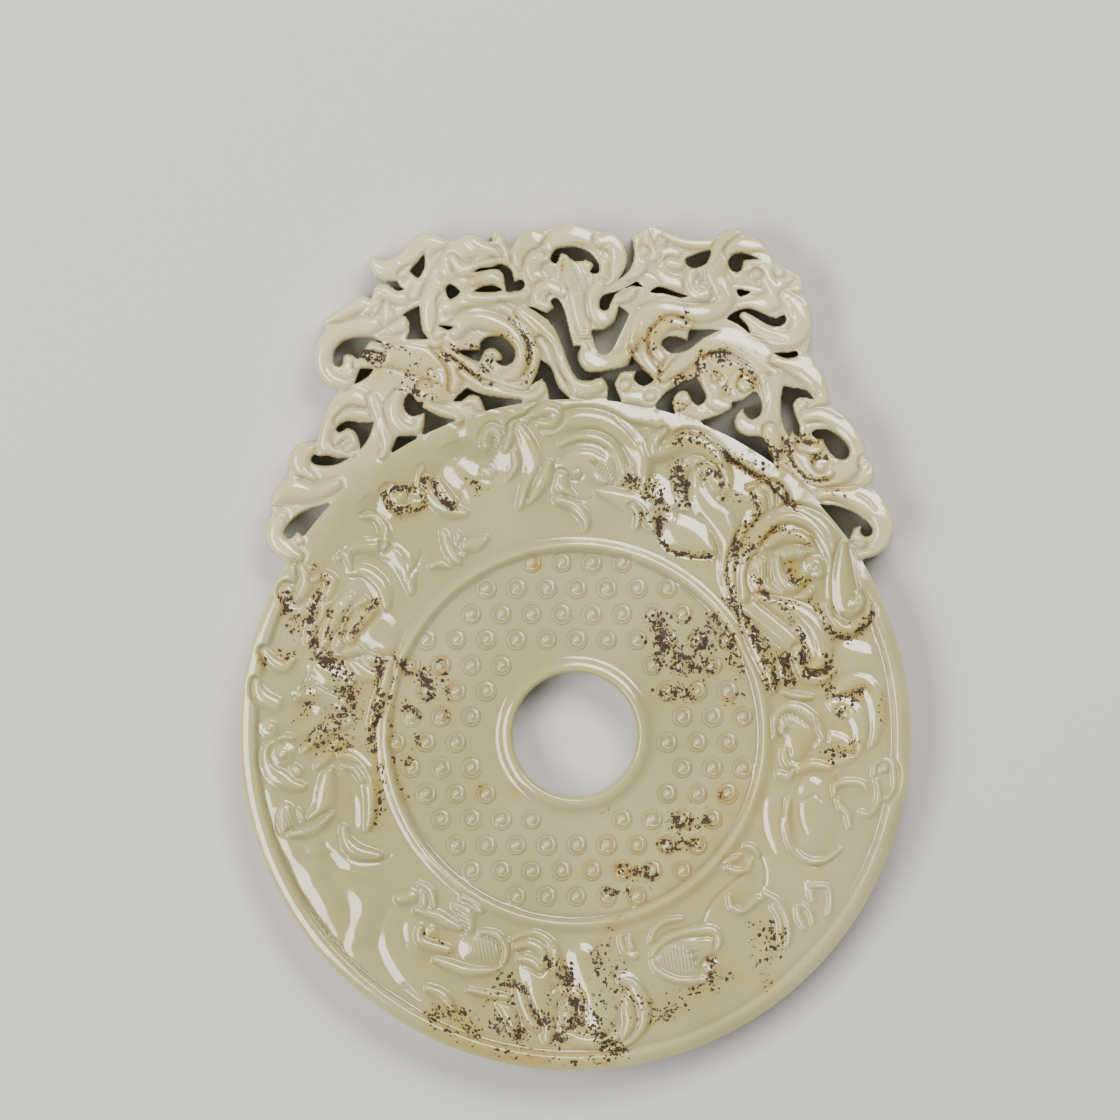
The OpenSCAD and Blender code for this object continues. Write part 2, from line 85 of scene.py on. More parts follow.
COLS = np.arange(SHEET_MID[0] - SHEET_R - MARGIN, SHEET_MID[0] + SHEET_R + MARGIN, STEP)
TOP_Y = SHEET_MID[1] - CAD_BOX[1][1] / UNIT
ROWS = np.arange(SHEET_MID[1] + SHEET_R + MARGIN, TOP_Y - MARGIN, -STEP)
X, Y = np.meshgrid(COLS, ROWS)
R = np.hypot(X - SHEET_MID[0], Y - SHEET_MID[1])
TURN = np.degrees(np.arctan2(SHEET_MID[1] - Y, X - SHEET_MID[0]))


def window(xs, ys, reach):
    """The part of the map that lies within reach of the points."""
    left = int((min(xs) - reach - COLS[0]) / STEP)
    right = int((max(xs) + reach - COLS[0]) / STEP) + 2
    low = int((ROWS[0] - max(ys) - reach) / STEP)
    high = int((ROWS[0] - min(ys) + reach) / STEP) + 2
    return slice(max(low, 0), max(high, 0)), slice(max(left, 0), max(right, 0))


def around(x, y, reach):
    """The part of the map round a spot, and how far its samples are from that spot."""
    win = window([x], [y], reach)
    return win, np.hypot(X[win] - x, Y[win] - y)


print("height map:", X.shape, "samples", round(STEP * MM, 3), "mm apart")

# %% [markdown]
# ## The outline and its openings
#
# The crest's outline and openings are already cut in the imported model. Its back face lies flat on
# z = 0, so the edges that only one of that face's triangles uses are the outline. From them comes
# EDGE, the distance of every sample to the outline: negative in the stone and positive in the air.
# One map then cuts the shape and rounds the relief off toward its edges.

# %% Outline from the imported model
CREST_FROM = SHEET_R - 2


def points_of(mesh):
    """Where the points of a mesh lie, in metres."""
    points = np.empty(3 * len(mesh.vertices))
    mesh.vertices.foreach_get("co", points)
    return points.reshape(-1, 3)


def outline_of(node):
    """Edges of the flat back face, in sheet units: one row of x, y, x, y for each."""
    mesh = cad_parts[node].data
    points = points_of(mesh)
    mesh.calc_loop_triangles()
    corners = np.empty(3 * len(mesh.loop_triangles), dtype=np.int64)
    mesh.loop_triangles.foreach_get("vertices", corners)
    corners = corners.reshape(-1, 3)
    flat = corners[(np.abs(points[corners][:, :, 2]) < 1e-6).all(axis=1)]
    places, merged = np.unique(np.round(points * 1e6).astype(np.int64), axis=0, return_inverse=True)
    flat = merged.reshape(-1)[flat]
    sides = np.concatenate([flat[:, [0, 1]], flat[:, [1, 2]], flat[:, [2, 0]]])
    first, count = np.unique(np.sort(sides, axis=1), axis=0, return_index=True, return_counts=True)[1:]
    sides = places[sides[first[count == 1]]] * 1e-6 / UNIT
    x = sides[:, :, 0] + SHEET_MID[0]
    y = SHEET_MID[1] - sides[:, :, 1]
    return np.stack([x[:, 0], y[:, 0], x[:, 1], y[:, 1]], axis=1)


def edge_map(sides):
    """Signed distance to the outline."""
    crossed = np.zeros(X.shape, dtype=np.int64)
    away = np.full(X.shape, EDGE_REACH)
    for x0, y0, x1, y1 in sides:
        if y0 != y1:
            rows = np.nonzero((ROWS > min(y0, y1)) & (ROWS <= max(y0, y1)))[0]
            at = x0 + (x1 - x0) * (ROWS[rows] - y0) / (y1 - y0)
            first = np.ceil((at - COLS[0]) / STEP).astype(int)
            crossed[rows, np.clip(first, 0, len(COLS) - 1)] += 1
        if max(math.dist(SHEET_MID, (x0, y0)), math.dist(SHEET_MID, (x1, y1))) > CREST_FROM:
            win = window((x0, x1), (y0, y1), EDGE_REACH)
            run = max((x1 - x0) ** 2 + (y1 - y0) ** 2, 1e-9)
            share = np.clip(((X[win] - x0) * (x1 - x0) + (Y[win] - y0) * (y1 - y0)) / run, 0, 1)
            gap = np.hypot(X[win] - x0 - share * (x1 - x0), Y[win] - y0 - share * (y1 - y0))
            away[win] = np.minimum(away[win], gap)
    inside = np.cumsum(crossed, axis=1) % 2 == 1
    return np.where(inside, -away, away)


OUTLINE = outline_of("jade_pendant")
CREST_EDGE = edge_map(OUTLINE)
EDGE = np.minimum(CREST_EDGE, R - SHEET_R)
print("outline:", len(OUTLINE), "edges; stone covers", round((EDGE < 0).mean() * 100, 1), "% of the sheet")

# %% [markdown]
# ## Turned parts of the disc
#
# The lip round the hole, the ridge that rings the grain field and the rim are turned shapes, so one
# profile of heights against radius draws all three. Toward the upper left the rim was ground away,
# and the face runs smoothly from the disc into the crest. At the upper right the rim slants outward.

# %% Rim, ridge and lip
BORE_R = 62.5
SEAM_R = 182.5
PROFILE = [
    (0, 4.05), (62, 4.1), (64, 4.45), (66, 4.58), (69, 4.55), (72, 4.44), (77, 4.12), (81, 4.02),
    (87, 4.0), (181, 4.0), (184, 4.06), (187, 4.4), (189, 4.56), (191, 4.54), (192.5, 4.46),
    (196, 4.25), (198, 4.18), (200, 4.14), (203, 4.17), (212, 4.18), (290, 4.2), (306, 4.2),
    (315, 4.24), (318, 4.3), (320, 4.66), (322, 4.92), (325, 4.98), (327, 4.95), (331, 4.8),
    (335, 4.6), (336, 4.45), (360, 4.3),
]
RIM_IN, RIM_OUT = 318.0, 321.0
FADE_FROM, FADE_TO, FADE_EASE = 97.0, 152.0, 8.0
TILT_FROM, TILT_TO, TILT_EASE = 12.0, 97.0, 14.0
TILT_TOP, TILT, TILT_REACH = 4.8, 0.034, 4
GROUND_FROM, GROUND_OVER, GROUND_Z = 300, 20, 4.5


def eased(share):
    """A share held between 0 and 1, that leaves and arrives softly."""
    share = np.clip(share, 0, 1)
    return share * share * (3 - 2 * share)


def softened(field, width):
    """The map blurred by a bell of this width, in samples."""
    reach = int(3 * width) + 1
    bell = np.exp(-0.5 * (np.arange(-reach, reach + 1) / width) ** 2)
    bell /= bell.sum()
    for axis in (0, 1):
        padded = np.pad(field, [(reach, reach) if a == axis else (0, 0) for a in (0, 1)], mode="edge")
        field = sum(
            weight * np.take(padded, np.arange(k, k + field.shape[axis]), axis=axis)
            for k, weight in enumerate(bell)
        )
    return field


HEIGHT = np.interp(R, *zip(*PROFILE))
ground_away = eased((TURN - FADE_FROM) / FADE_EASE) * eased((FADE_TO - TURN) / FADE_EASE)
lowered = HEIGHT + ground_away * (GROUND_Z - HEIGHT) * eased((R - GROUND_FROM) / GROUND_OVER)
HEIGHT = np.where(R > GROUND_FROM, lowered, HEIGHT)
tilted = eased((TURN - TILT_FROM) / TILT_EASE) * eased((TILT_TO - TURN) / TILT_EASE)
slanted = TILT_TOP - TILT * (R - RIM_OUT)
on_rim = (R > RIM_OUT) & (R < SHEET_R + TILT_REACH)
HEIGHT = np.where(on_rim, HEIGHT + tilted * (slanted - HEIGHT), HEIGHT)
print("turned profile from", round(HEIGHT[R < SHEET_R].min(), 2), "to", round(HEIGHT.max(), 2), "mm")

# %% [markdown]
# ## Strokes
#
# A carved body, leg or scroll is a ribbon: a smooth line through a few charted points, each with its
# half width. Its top is domed, and a narrow ditch sets it off from what lies beside it. Grooves and
# spirals are lines that are pressed in afterwards.

# %% Ribbons and grooves
SMOOTHING = 8
FULLER = 1.15
SPARE = 5
SHOULDER = 1.5
LEAN_X, LEAN_Y = 0.42, 0.91
SLOPE_UP, SLOPE_DOWN = 0.55, 0.45
SPIRAL_STEPS, SPIRAL_IN = 10, 0.8


def smooth(points):
    """A smooth run through the charted points, with every column eased alike."""
    points = np.array(points, dtype=float)
    if len(points) == 1:
        points = np.repeat(points, 2, axis=0) + np.array([[0.0], [1e-3]])
    ends = np.concatenate([points[:1], points, points[-1:]])
    share = np.linspace(0, 1, SMOOTHING, endpoint=False)[:, None]
    run = []
    for a, b, c, d in zip(ends[:-3], ends[1:-2], ends[2:-1], ends[3:]):
        run.append(
            b + (c - a) * (share - 2 * share**2 + share**3) / 2
            + (c - b) * (3 * share**2 - 2 * share**3)
            - (d - b) * (share**2 - share**3) / 2
        )
    run = np.concatenate(run + [points[-1:]])
    run[:, 2] *= FULLER
    return run


def measured(run, reach):
    """Where the run passes: the map window, the gap to its edge, its half width, offset and length."""
    win = window(run[:, 0], run[:, 1], run[:, 2].max() + reach)
    x, y = X[win], Y[win]
    gap = np.full(x.shape, 1e9)
    half, offset, along = np.ones(x.shape), np.zeros(x.shape), np.zeros(x.shape)
    start = 0.0
    for a, b in zip(run[:-1], run[1:]):
        dx, dy = b[0] - a[0], b[1] - a[1]
        length = math.hypot(dx, dy) + 1e-9
        share = np.clip(((x - a[0]) * dx + (y - a[1]) * dy) / length**2, 0, 1)
        off_x, off_y = x - a[0] - share * dx, y - a[1] - share * dy
        wide = a[2] + share * (b[2] - a[2])
        dist = np.hypot(off_x, off_y)
        nearer = dist - wide < gap
        gap = np.where(nearer, dist - wide, gap)
        half = np.where(nearer, wide, half)
        offset = np.where(nearer, np.sign(dx * off_y - dy * off_x) * dist, offset)
        along = np.where(nearer, start + share * length, along)
        start += length
    return win, gap, half, offset, along


def body(points, top=4.72, ground=4.22, ditch=4.0, skirt=1.3, lean=0.0, flat=2.3):
    """Raises a ribbon. A higher flat gives a flatter top, and a lean tips it to the upper right."""
    win, gap, half, offset = measured(smooth(points), ditch + SPARE)[:4]
    z = HEIGHT[win]
    out_y, out_x = np.gradient(np.abs(offset), STEP)
    top = top - lean * MM * np.abs(offset) * (out_x * LEAN_X + out_y * LEAN_Y)
    foot = np.minimum(z, ground)
    across = np.clip((1 + gap / half) / skirt, 0, 1)
    domed = foot + (top - foot) * (1 - across**flat) ** SHOULDER
    out = gap - (skirt - 1) * half
    beside = foot + (z - foot) * eased(out / ditch)
    HEIGHT[win] = np.where(out < 0, domed, beside)


def slope(points, steep=0.055, run_out=26.0, ease=12.0):
    """Tilts the face across a line: it lies low on the right-hand side, looking along the line."""
    win, _, half, offset, along = measured(smooth(points), run_out)
    up = eased((half - offset) / (2 * half))
    high = up * eased((half + run_out + offset) / run_out)
    low = (1 - up) * eased((half + run_out - offset) / run_out) * (R[win] < RIM_IN)
    ends = eased(along / ease) * eased((along.max() - along) / ease)
    HEIGHT[win] += steep * half * ends * (SLOPE_UP * high - SLOPE_DOWN * low)


def groove(points, wide=1.8, deep=0.12):
    """Presses a rounded line."""
    run = smooth([(*p[:2], wide) for p in points])
    win, gap, half = measured(run, 0)[:3]
    across = np.clip(1 + gap / half, 0, 1)
    HEIGHT[win] -= deep * (1 - across**2) ** 2


def spiral(x, y, radius, turns=1.25, start=0.0, hand=1, wide=1.7, deep=0.13):
    """Presses a spiral line that winds inwards from its start angle, in degrees."""
    steps = np.linspace(0, 1, int(SPIRAL_STEPS * turns) + 4)
    angle = np.radians(start) + hand * 2 * math.pi * turns * steps
    reach = radius * (1 - SPIRAL_IN * steps)
    groove(list(zip(x + reach * np.cos(angle), y - reach * np.sin(angle))), wide, deep)


print("strokes: body, slope, groove and spiral,", SMOOTHING, "steps between charted points")

# %% [markdown]
# ## The dragon band
#
# Hornless dragons chase each other round the band among curls of cloud. Each row below is one body,
# leg, lock of mane or scroll, read off the object from the centre line out: x, y, half width.
# The rows go clockwise, a quarter of the band at a time, and a row lies over the rows before it.
# The lower right quarter is the most worn, so its forms stand less high.

# %% Band, upper right quarter
UPPER_RIGHT = [
    [[548, 430, 5], [572, 420, 8], [602, 423, 9], [628, 440, 9], [641, 464, 8], [643, 488, 4]],
    [[562, 443, 3], [588, 438, 6], [608, 446, 6], [619, 463, 6], [621, 480, 5], [609, 490, 3]],
    [[566, 468, 9], [582, 461, 13], [598, 466, 12], [606, 480, 6]],
    [[560, 478, 6], [562, 491, 7], [572, 499, 5]],
    [[558, 500, 4], [574, 506, 5], [585, 519, 4], [586, 529, 2]],
    [[598, 491, 3], [616, 497, 7], [636, 507, 9], [648, 518, 7], [654, 529, 3]],
    [[632, 506, 2], [638, 516, 3], [636, 528, 2]],
    [[664, 432, 3], [655, 441, 5], [658, 454, 6], [672, 447, 7], [688, 441, 8], [704, 448, 9],
     [717, 464, 9], [723, 484, 7], [718, 500, 3]],
    [[684, 470, 3], [692, 463, 5], [702, 464, 5]],
    [[683, 468, 6], [681, 486, 7], [687, 506, 6], [694, 518, 2]],
    [[707, 472, 7], [712, 486, 8], [703, 496, 5]],
    [[696, 476, 4], [697, 492, 7], [706, 508, 9], [722, 524, 11], [731, 544, 9], [728, 566, 8],
     [733, 586, 9], [750, 606, 9], [772, 624, 9], [792, 642, 9], [804, 658, 4]],
    [[666, 522, 6], [680, 532, 13], [696, 541, 12], [711, 550, 5]],
    [[738, 592, 4], [739, 566, 8], [748, 542, 9], [757, 520, 9], [762, 502, 7], [758, 487, 4],
     [748, 487, 2]],
    [[763, 486, 3], [772, 492, 4], [774, 508, 3], [770, 518, 2]],
    [[774, 484, 2], [782, 493, 4], [779, 509, 2]],
    [[744, 598, 4], [748, 568, 8], [757, 542, 9], [773, 525, 9], [795, 518, 9], [817, 526, 9],
     [831, 545, 8], [836, 570, 7], [835, 596, 6], [828, 618, 3]],
    [[768, 545, 4], [784, 535, 7], [803, 538, 6], [812, 548, 3]],
    [[759, 564, 6], [759, 582, 8], [772, 596, 7], [794, 602, 6], [810, 592, 4]],
    [[782, 556, 5], [798, 553, 6], [812, 556, 5]],
    [[777, 560, 3], [781, 577, 4], [791, 588, 5], [803, 578, 4], [808, 566, 3]],
    [[815, 566, 8], [819, 573, 5]],
    [[843, 545, 3], [843, 570, 7], [845, 592, 9], [850, 606, 10], [861, 605, 6], [860, 596, 3]],
    [[826, 604, 3], [833, 620, 5], [849, 630, 6], [866, 618, 4], [869, 606, 2]],
    [[760, 597, 3], [782, 607, 7], [803, 618, 10], [819, 637, 10], [824, 656, 7], [814, 668, 4]],
    [[798, 650, 4], [798, 666, 4], [808, 678, 5], [823, 679, 4], [834, 670, 2]],
    [[745, 624, 4], [757, 646, 7], [768, 668, 7], [774, 690, 3]],
    [[784, 655, 2], [783, 671, 6], [791, 686, 3]],
    [[784, 692, 2], [797, 696, 3], [812, 697, 2]],
]

# %% Band, lower right quarter
LOWER_RIGHT = [
    [[838, 693, 3], [848, 684, 6], [862, 682, 7], [873, 692, 7], [878, 712, 6], [876, 732, 5],
     [871, 745, 3]],
    [[832, 704, 4], [842, 708, 8], [854, 713, 7], [861, 728, 6], [859, 745, 5], [850, 757, 5],
     [834, 763, 3]],
    [[816, 745, 3], [828, 738, 5], [842, 742, 6], [850, 748, 4]],
    [[788, 724, 9], [800, 733, 11], [796, 748, 9], [788, 758, 5]],
    [[775, 738, 2], [776, 716, 3], [790, 707, 4], [806, 713, 5], [818, 725, 4], [824, 739, 2]],
    [[784, 750, 3], [786, 762, 4], [797, 769, 4], [814, 765, 4], [830, 768, 3]],
    [[779, 774, 3], [788, 777, 4], [793, 772, 2]],
    [[812, 790, 10], [816, 815, 16], [816, 836, 13]],
    [[789, 800, 2], [786, 822, 3], [791, 846, 3], [806, 860, 3], [824, 861, 3], [840, 850, 2]],
    [[835, 797, 2], [836, 786, 3], [848, 782, 3], [862, 784, 3], [867, 790, 2]],
    [[838, 800, 2], [841, 807, 3], [848, 815, 3], [850, 827, 2]],
    [[861, 812, 2], [868, 815, 3], [876, 807, 3], [879, 791, 2], [875, 778, 2]],
    [[874, 775, 2], [878, 766, 3], [888, 763, 3], [894, 772, 3], [894, 788, 2], [888, 798, 2]],
    [[884, 769, 4]],
    [[808, 884, 2], [811, 894, 3], [813, 901, 2]],
    [[812, 886, 2], [821, 886, 2], [828, 888, 2], [831, 900, 2], [829, 914, 2]],
    [[797, 908, 2], [799, 918, 3], [805, 929, 2]],
    [[803, 905, 2], [810, 912, 2], [813, 924, 2]],
    [[745, 846, 2], [752, 848, 3], [759, 855, 2]],
    [[725, 867, 3], [730, 861, 3], [739, 857, 2]],
    [[727, 868, 2], [737, 872, 3], [747, 870, 3], [751, 861, 2]],
    [[729, 897, 2], [732, 907, 3], [740, 912, 3], [748, 908, 3], [755, 901, 4], [763, 898, 2]],
    [[764, 893, 2], [776, 901, 3], [785, 914, 3], [789, 930, 3], [788, 945, 2]],
    [[772, 907, 2], [779, 918, 2], [781, 932, 2], [780, 942, 2]],
    [[664, 954, 9], [686, 956, 15], [704, 948, 12], [714, 940, 5]],
    [[652, 956, 2], [662, 943, 3], [680, 934, 3], [698, 931, 4], [713, 931, 4], [720, 940, 3],
     [718, 948, 2]],
    [[650, 942, 2], [655, 930, 2], [665, 922, 3], [682, 919, 2]],
    [[652, 962, 2], [660, 973, 3], [680, 981, 3], [702, 980, 4], [718, 968, 3]],
    [[712, 968, 7]],
    [[620, 938, 2], [624, 950, 3], [635, 957, 3]],
    [[629, 938, 2], [632, 948, 3]],
    [[650, 1008, 2], [652, 1018, 3]],
]

# %% Band, lower left quarter
LOWER_LEFT = [
    [[606, 990, 3], [618, 980, 5], [632, 983, 6], [641, 997, 7], [645, 1014, 6], [640, 1030, 5],
     [628, 1042, 4], [610, 1047, 3]],
    [[617, 1000, 5], [626, 1008, 6], [630, 1022, 5], [624, 1036, 3]],
    [[582, 958, 11], [594, 984, 14], [601, 1006, 14], [601, 1024, 9]],
    [[556, 996, 4], [559, 1020, 5], [572, 1038, 5], [596, 1043, 5], [616, 1038, 3]],
    [[566, 990, 4], [576, 998, 5], [578, 1014, 4]],
    [[566, 1008, 7], [568, 1022, 5]],
    [[530, 962, 8], [538, 986, 11], [544, 1012, 10], [547, 1040, 4]],
    [[518, 988, 4], [521, 1004, 6], [528, 1020, 6], [538, 1030, 3]],
    [[500, 1002, 4], [510, 1015, 6], [515, 1032, 4]],
    [[504, 944, 3], [518, 938, 4], [536, 936, 5], [550, 948, 6], [557, 967, 4]],
    [[516, 947, 3], [530, 945, 5], [541, 953, 5], [544, 966, 3]],
    [[520, 959, 3], [531, 962, 4], [540, 969, 3]],
    [[468, 990, 2], [486, 994, 3], [507, 998, 3]],
    [[436, 960, 3], [449, 966, 5], [466, 972, 6], [486, 970, 6], [502, 964, 4]],
    [[474, 948, 11], [489, 947, 13], [499, 950, 8]],
    [[481, 932, 2], [496, 935, 3], [506, 949, 3], [504, 963, 2]],
    [[462, 899, 3], [472, 906, 4], [481, 912, 2]],
    [[456, 906, 4], [467, 914, 6], [470, 928, 4]],
    [[420, 928, 3], [419, 938, 4], [428, 945, 5], [448, 950, 4]],
    [[432, 931, 5]],
    [[416, 910, 3], [432, 914, 5], [446, 922, 5], [460, 928, 3]],
    [[420, 884, 2], [431, 892, 3], [434, 907, 2]],
    [[412, 889, 2], [422, 896, 3], [424, 906, 2]],
    [[400, 899, 5], [411, 897, 6]],
    [[428, 988, 3], [442, 996, 5], [452, 1009, 3]],
    [[343, 828, 3], [347, 842, 5], [358, 852, 6], [378, 856, 4]],
    [[338, 754, 3], [352, 757, 5], [364, 770, 6], [370, 788, 6], [371, 806, 5], [368, 828, 3]],
    [[344, 767, 2], [354, 769, 3], [362, 780, 3]],
    [[328, 771, 5], [326, 790, 8], [323, 806, 8], [313, 820, 6], [298, 829, 4]],
    [[289, 808, 2], [297, 812, 3], [303, 820, 2]],
    [[285, 811, 7], [286, 828, 8]],
    [[291, 834, 3], [306, 832, 5], [320, 824, 5], [331, 815, 3]],
    [[334, 745, 3], [326, 758, 5], [317, 767, 3]],
    [[292, 738, 3], [277, 741, 6], [269, 755, 7], [274, 772, 8], [290, 784, 6], [303, 787, 3]],
    [[289, 763, 3], [298, 772, 4]],
    [[283, 754, 9]],
]

# %% Band, upper left quarter
UPPER_LEFT = [
    [[270, 728, 8]],
    [[256, 682, 3], [261, 696, 6], [275, 704, 6]],
    [[264, 651, 3], [272, 662, 5], [284, 667, 5], [293, 659, 3]],
    [[300, 695, 6], [318, 694, 9], [336, 700, 8], [345, 713, 4]],
    [[316, 667, 6], [332, 676, 9], [347, 685, 7]],
    [[352, 662, 5], [362, 672, 7], [373, 676, 5]],
    [[364, 652, 3], [374, 660, 5], [389, 661, 4]],
    [[329, 653, 4], [346, 650, 6], [361, 648, 5]],
    [[388, 666, 3], [384, 686, 5], [377, 706, 5], [371, 724, 3]],
    [[304, 750, 3], [315, 740, 5], [330, 728, 6], [348, 722, 5]],
    [[364, 602, 5], [351, 616, 6], [343, 630, 6], [338, 645, 4]],
    [[349, 598, 5], [336, 612, 6], [328, 628, 6], [323, 645, 4]],
    [[333, 594, 4], [322, 606, 5], [314, 622, 5], [308, 640, 4]],
    [[287, 591, 6], [298, 602, 8], [310, 611, 6]],
    [[301, 567, 3], [306, 580, 5], [302, 592, 5], [296, 600, 3]],
    [[315, 579, 3], [324, 575, 4], [332, 582, 5], [328, 594, 4]],
    [[364, 622, 10], [378, 630, 15], [386, 643, 9]],
    [[386, 598, 3], [372, 610, 5], [358, 622, 6], [350, 638, 5]],
    [[350, 570, 3], [364, 572, 6], [376, 581, 7], [383, 593, 7], [386, 606, 4]],
    [[338, 558, 3], [356, 547, 5], [378, 547, 7], [396, 556, 8], [407, 572, 7], [411, 592, 3]],
    [[342, 552, 2], [347, 557, 3], [350, 567, 2]],
    [[364, 516, 2], [376, 517, 4], [384, 527, 5], [386, 541, 4], [383, 549, 2]],
    [[390, 494, 7], [401, 505, 9], [412, 504, 7], [425, 500, 3]],
    [[400, 496, 6]],
    [[422, 468, 2], [420, 480, 3], [421, 492, 2]],
    [[425, 479, 3], [429, 492, 5], [438, 504, 6], [450, 511, 6], [465, 513, 3]],
    [[438, 481, 3], [445, 494, 5], [454, 503, 3]],
    [[432, 566, 3], [441, 563, 4], [449, 566, 3]],
    [[443, 533, 3], [447, 546, 4], [454, 556, 5], [459, 563, 2]],
    [[458, 534, 2], [461, 545, 4], [464, 555, 2]],
    [[465, 546, 4], [476, 544, 6], [485, 539, 3]],
    [[513, 452, 2], [516, 465, 3], [508, 479, 2]],
    [[486, 446, 4], [487, 436, 5], [493, 430, 5], [499, 436, 4], [499, 444, 2]],
    [[526, 420, 3], [515, 426, 4], [510, 437, 4], [505, 449, 3]],
    [[520, 428, 4], [527, 442, 6], [533, 460, 7], [531, 478, 7], [525, 492, 5], [520, 506, 3]],
    [[549, 463, 3], [544, 478, 6], [537, 491, 5], [530, 502, 2]],
    [[532, 415, 3], [544, 410, 5], [556, 413, 5], [551, 424, 4], [540, 423, 3]],
]

# %% [markdown]
# ## Broad slopes
#
# Broad forms have one steep side and run out flat on the other. Each row follows such a side, and
# the face lies low on its right hand, seen along the row.

# %% Slopes of the band
BAND_SLOPES = [
    [[456, 433, 4], [466, 442, 10], [477, 451, 9], [488, 460, 4]],
    [[494, 446, 5], [503, 457, 10], [510, 470, 4]],
    [[521, 428, 2], [527, 440, 4], [533, 456, 5], [535, 470, 5], [531, 486, 3]],
    [[428, 482, 2], [434, 498, 3], [444, 511, 4], [454, 516, 3], [466, 514, 2]],
    [[441, 528, 3], [445, 540, 4], [451, 553, 3]],
    [[372, 541, 3], [388, 546, 6], [402, 556, 6], [412, 570, 3]],
    [[447, 459, 4], [450, 473, 9], [459, 485, 9], [472, 492, 4]],
    [[382, 492, 4], [384, 507, 9], [396, 522, 7]],
    [[322, 832, 2], [329, 848, 4], [341, 862, 6], [358, 874, 5], [376, 881, 2]],
    [[353, 790, 2], [357, 803, 3], [358, 818, 3], [357, 834, 5]],
    [[302, 688, 5], [312, 695, 10], [322, 703, 6]],
    [[301, 842, 4], [308, 852, 7], [317, 861, 3]],
    [[262, 780, 3], [269, 806, 4], [278, 832, 5], [290, 858, 6], [304, 882, 9], [316, 900, 10],
     [325, 916, 8], [332, 930, 6], [339, 946, 3]],
    [[330, 866, 4], [336, 880, 7], [346, 893, 9], [354, 906, 10], [354, 921, 9], [350, 936, 7],
     [347, 949, 6], [353, 962, 7], [366, 975, 6], [384, 990, 4], [400, 1000, 2]],
    [[394, 902, 2], [386, 918, 4], [382, 934, 5], [382, 948, 6], [388, 963, 7], [398, 978, 7],
     [410, 991, 5], [428, 1006, 3]],
    [[408, 914, 3], [405, 930, 4], [407, 946, 3], [403, 960, 3]],
    [[519, 986, 3], [521, 1004, 5], [530, 1022, 5], [538, 1031, 3]],
    [[771, 790, 2], [766, 808, 3], [768, 832, 4], [780, 862, 2]],
    [[655, 430, 4], [640, 450, 8], [645, 470, 8]],
    [[758, 492, 6], [741, 481, 14], [722, 468, 7]],
    [[878, 650, 4], [858, 646, 8], [838, 640, 4]],
    [[684, 504, 6], [663, 489, 14], [644, 474, 7]],
]

QUARTERS = [(UPPER_RIGHT, 4.72), (LOWER_RIGHT, 4.52), (LOWER_LEFT, 4.66), (UPPER_LEFT, 4.66)]
for quarter, top in QUARTERS:
    for row in quarter:
        body(row, top)
for row in BAND_SLOPES:
    slope(row)
print("band:", [len(quarter) for quarter, top in QUARTERS], "bodies,", len(BAND_SLOPES), "slopes")

# %% [markdown]
# ## Rings of the grain field
#
# The grains stand in staggered rows. Each was left standing by a tubular drill, which also cut the
# faint ring round it. The rings are pressed into the height map here, and the grains themselves are
# one repeated form, added by Geometry Nodes further down.

# %% Rings
COLUMN_GAP, ROW_GAP = 30.2, 25.7
GRAIN_START = (577.0, 743.0)
GRAINS_FROM, GRAINS_TO = 91.0, 180.0
GRAIN_R = 10.5
GRAIN_ROWS = 15
RING_IN, RING_WIDE, RING_DEEP = 1.5, 1.8, 0.07


def lattice():
    """Middles of the grains, on the sheet."""
    half = GRAIN_ROWS // 2
    spots = []
    for row in range(-half, half + 1):
        for column in range(-half, half + 1):
            x = GRAIN_START[0] + (column + row % 2 / 2) * COLUMN_GAP
            y = GRAIN_START[1] - row * ROW_GAP
            if GRAINS_FROM <= math.dist(SHEET_MID, (x, y)) <= GRAINS_TO:
                spots.append((x, y))
    return spots


GRAINS = lattice()
for x, y in GRAINS:
    win, off = around(x, y, 2 * GRAIN_R)
    HEIGHT[win] -= RING_DEEP * np.exp(-(((off - GRAIN_R + RING_IN) / RING_WIDE) ** 2))
print("grains:", len(GRAINS))

# %% [markdown]
# ## The crest
#
# Two dragons face outward from a pair of cloud scrolls, and a winged curl runs down each side. The
# forms stand higher than in the band, because the piercing left the carver room to work round them.
# Rows go from the left end over the top to the right end. Their broad highlights suggest that the
# tops lean down toward the upper right, those of the right half more, and that these are flatter.

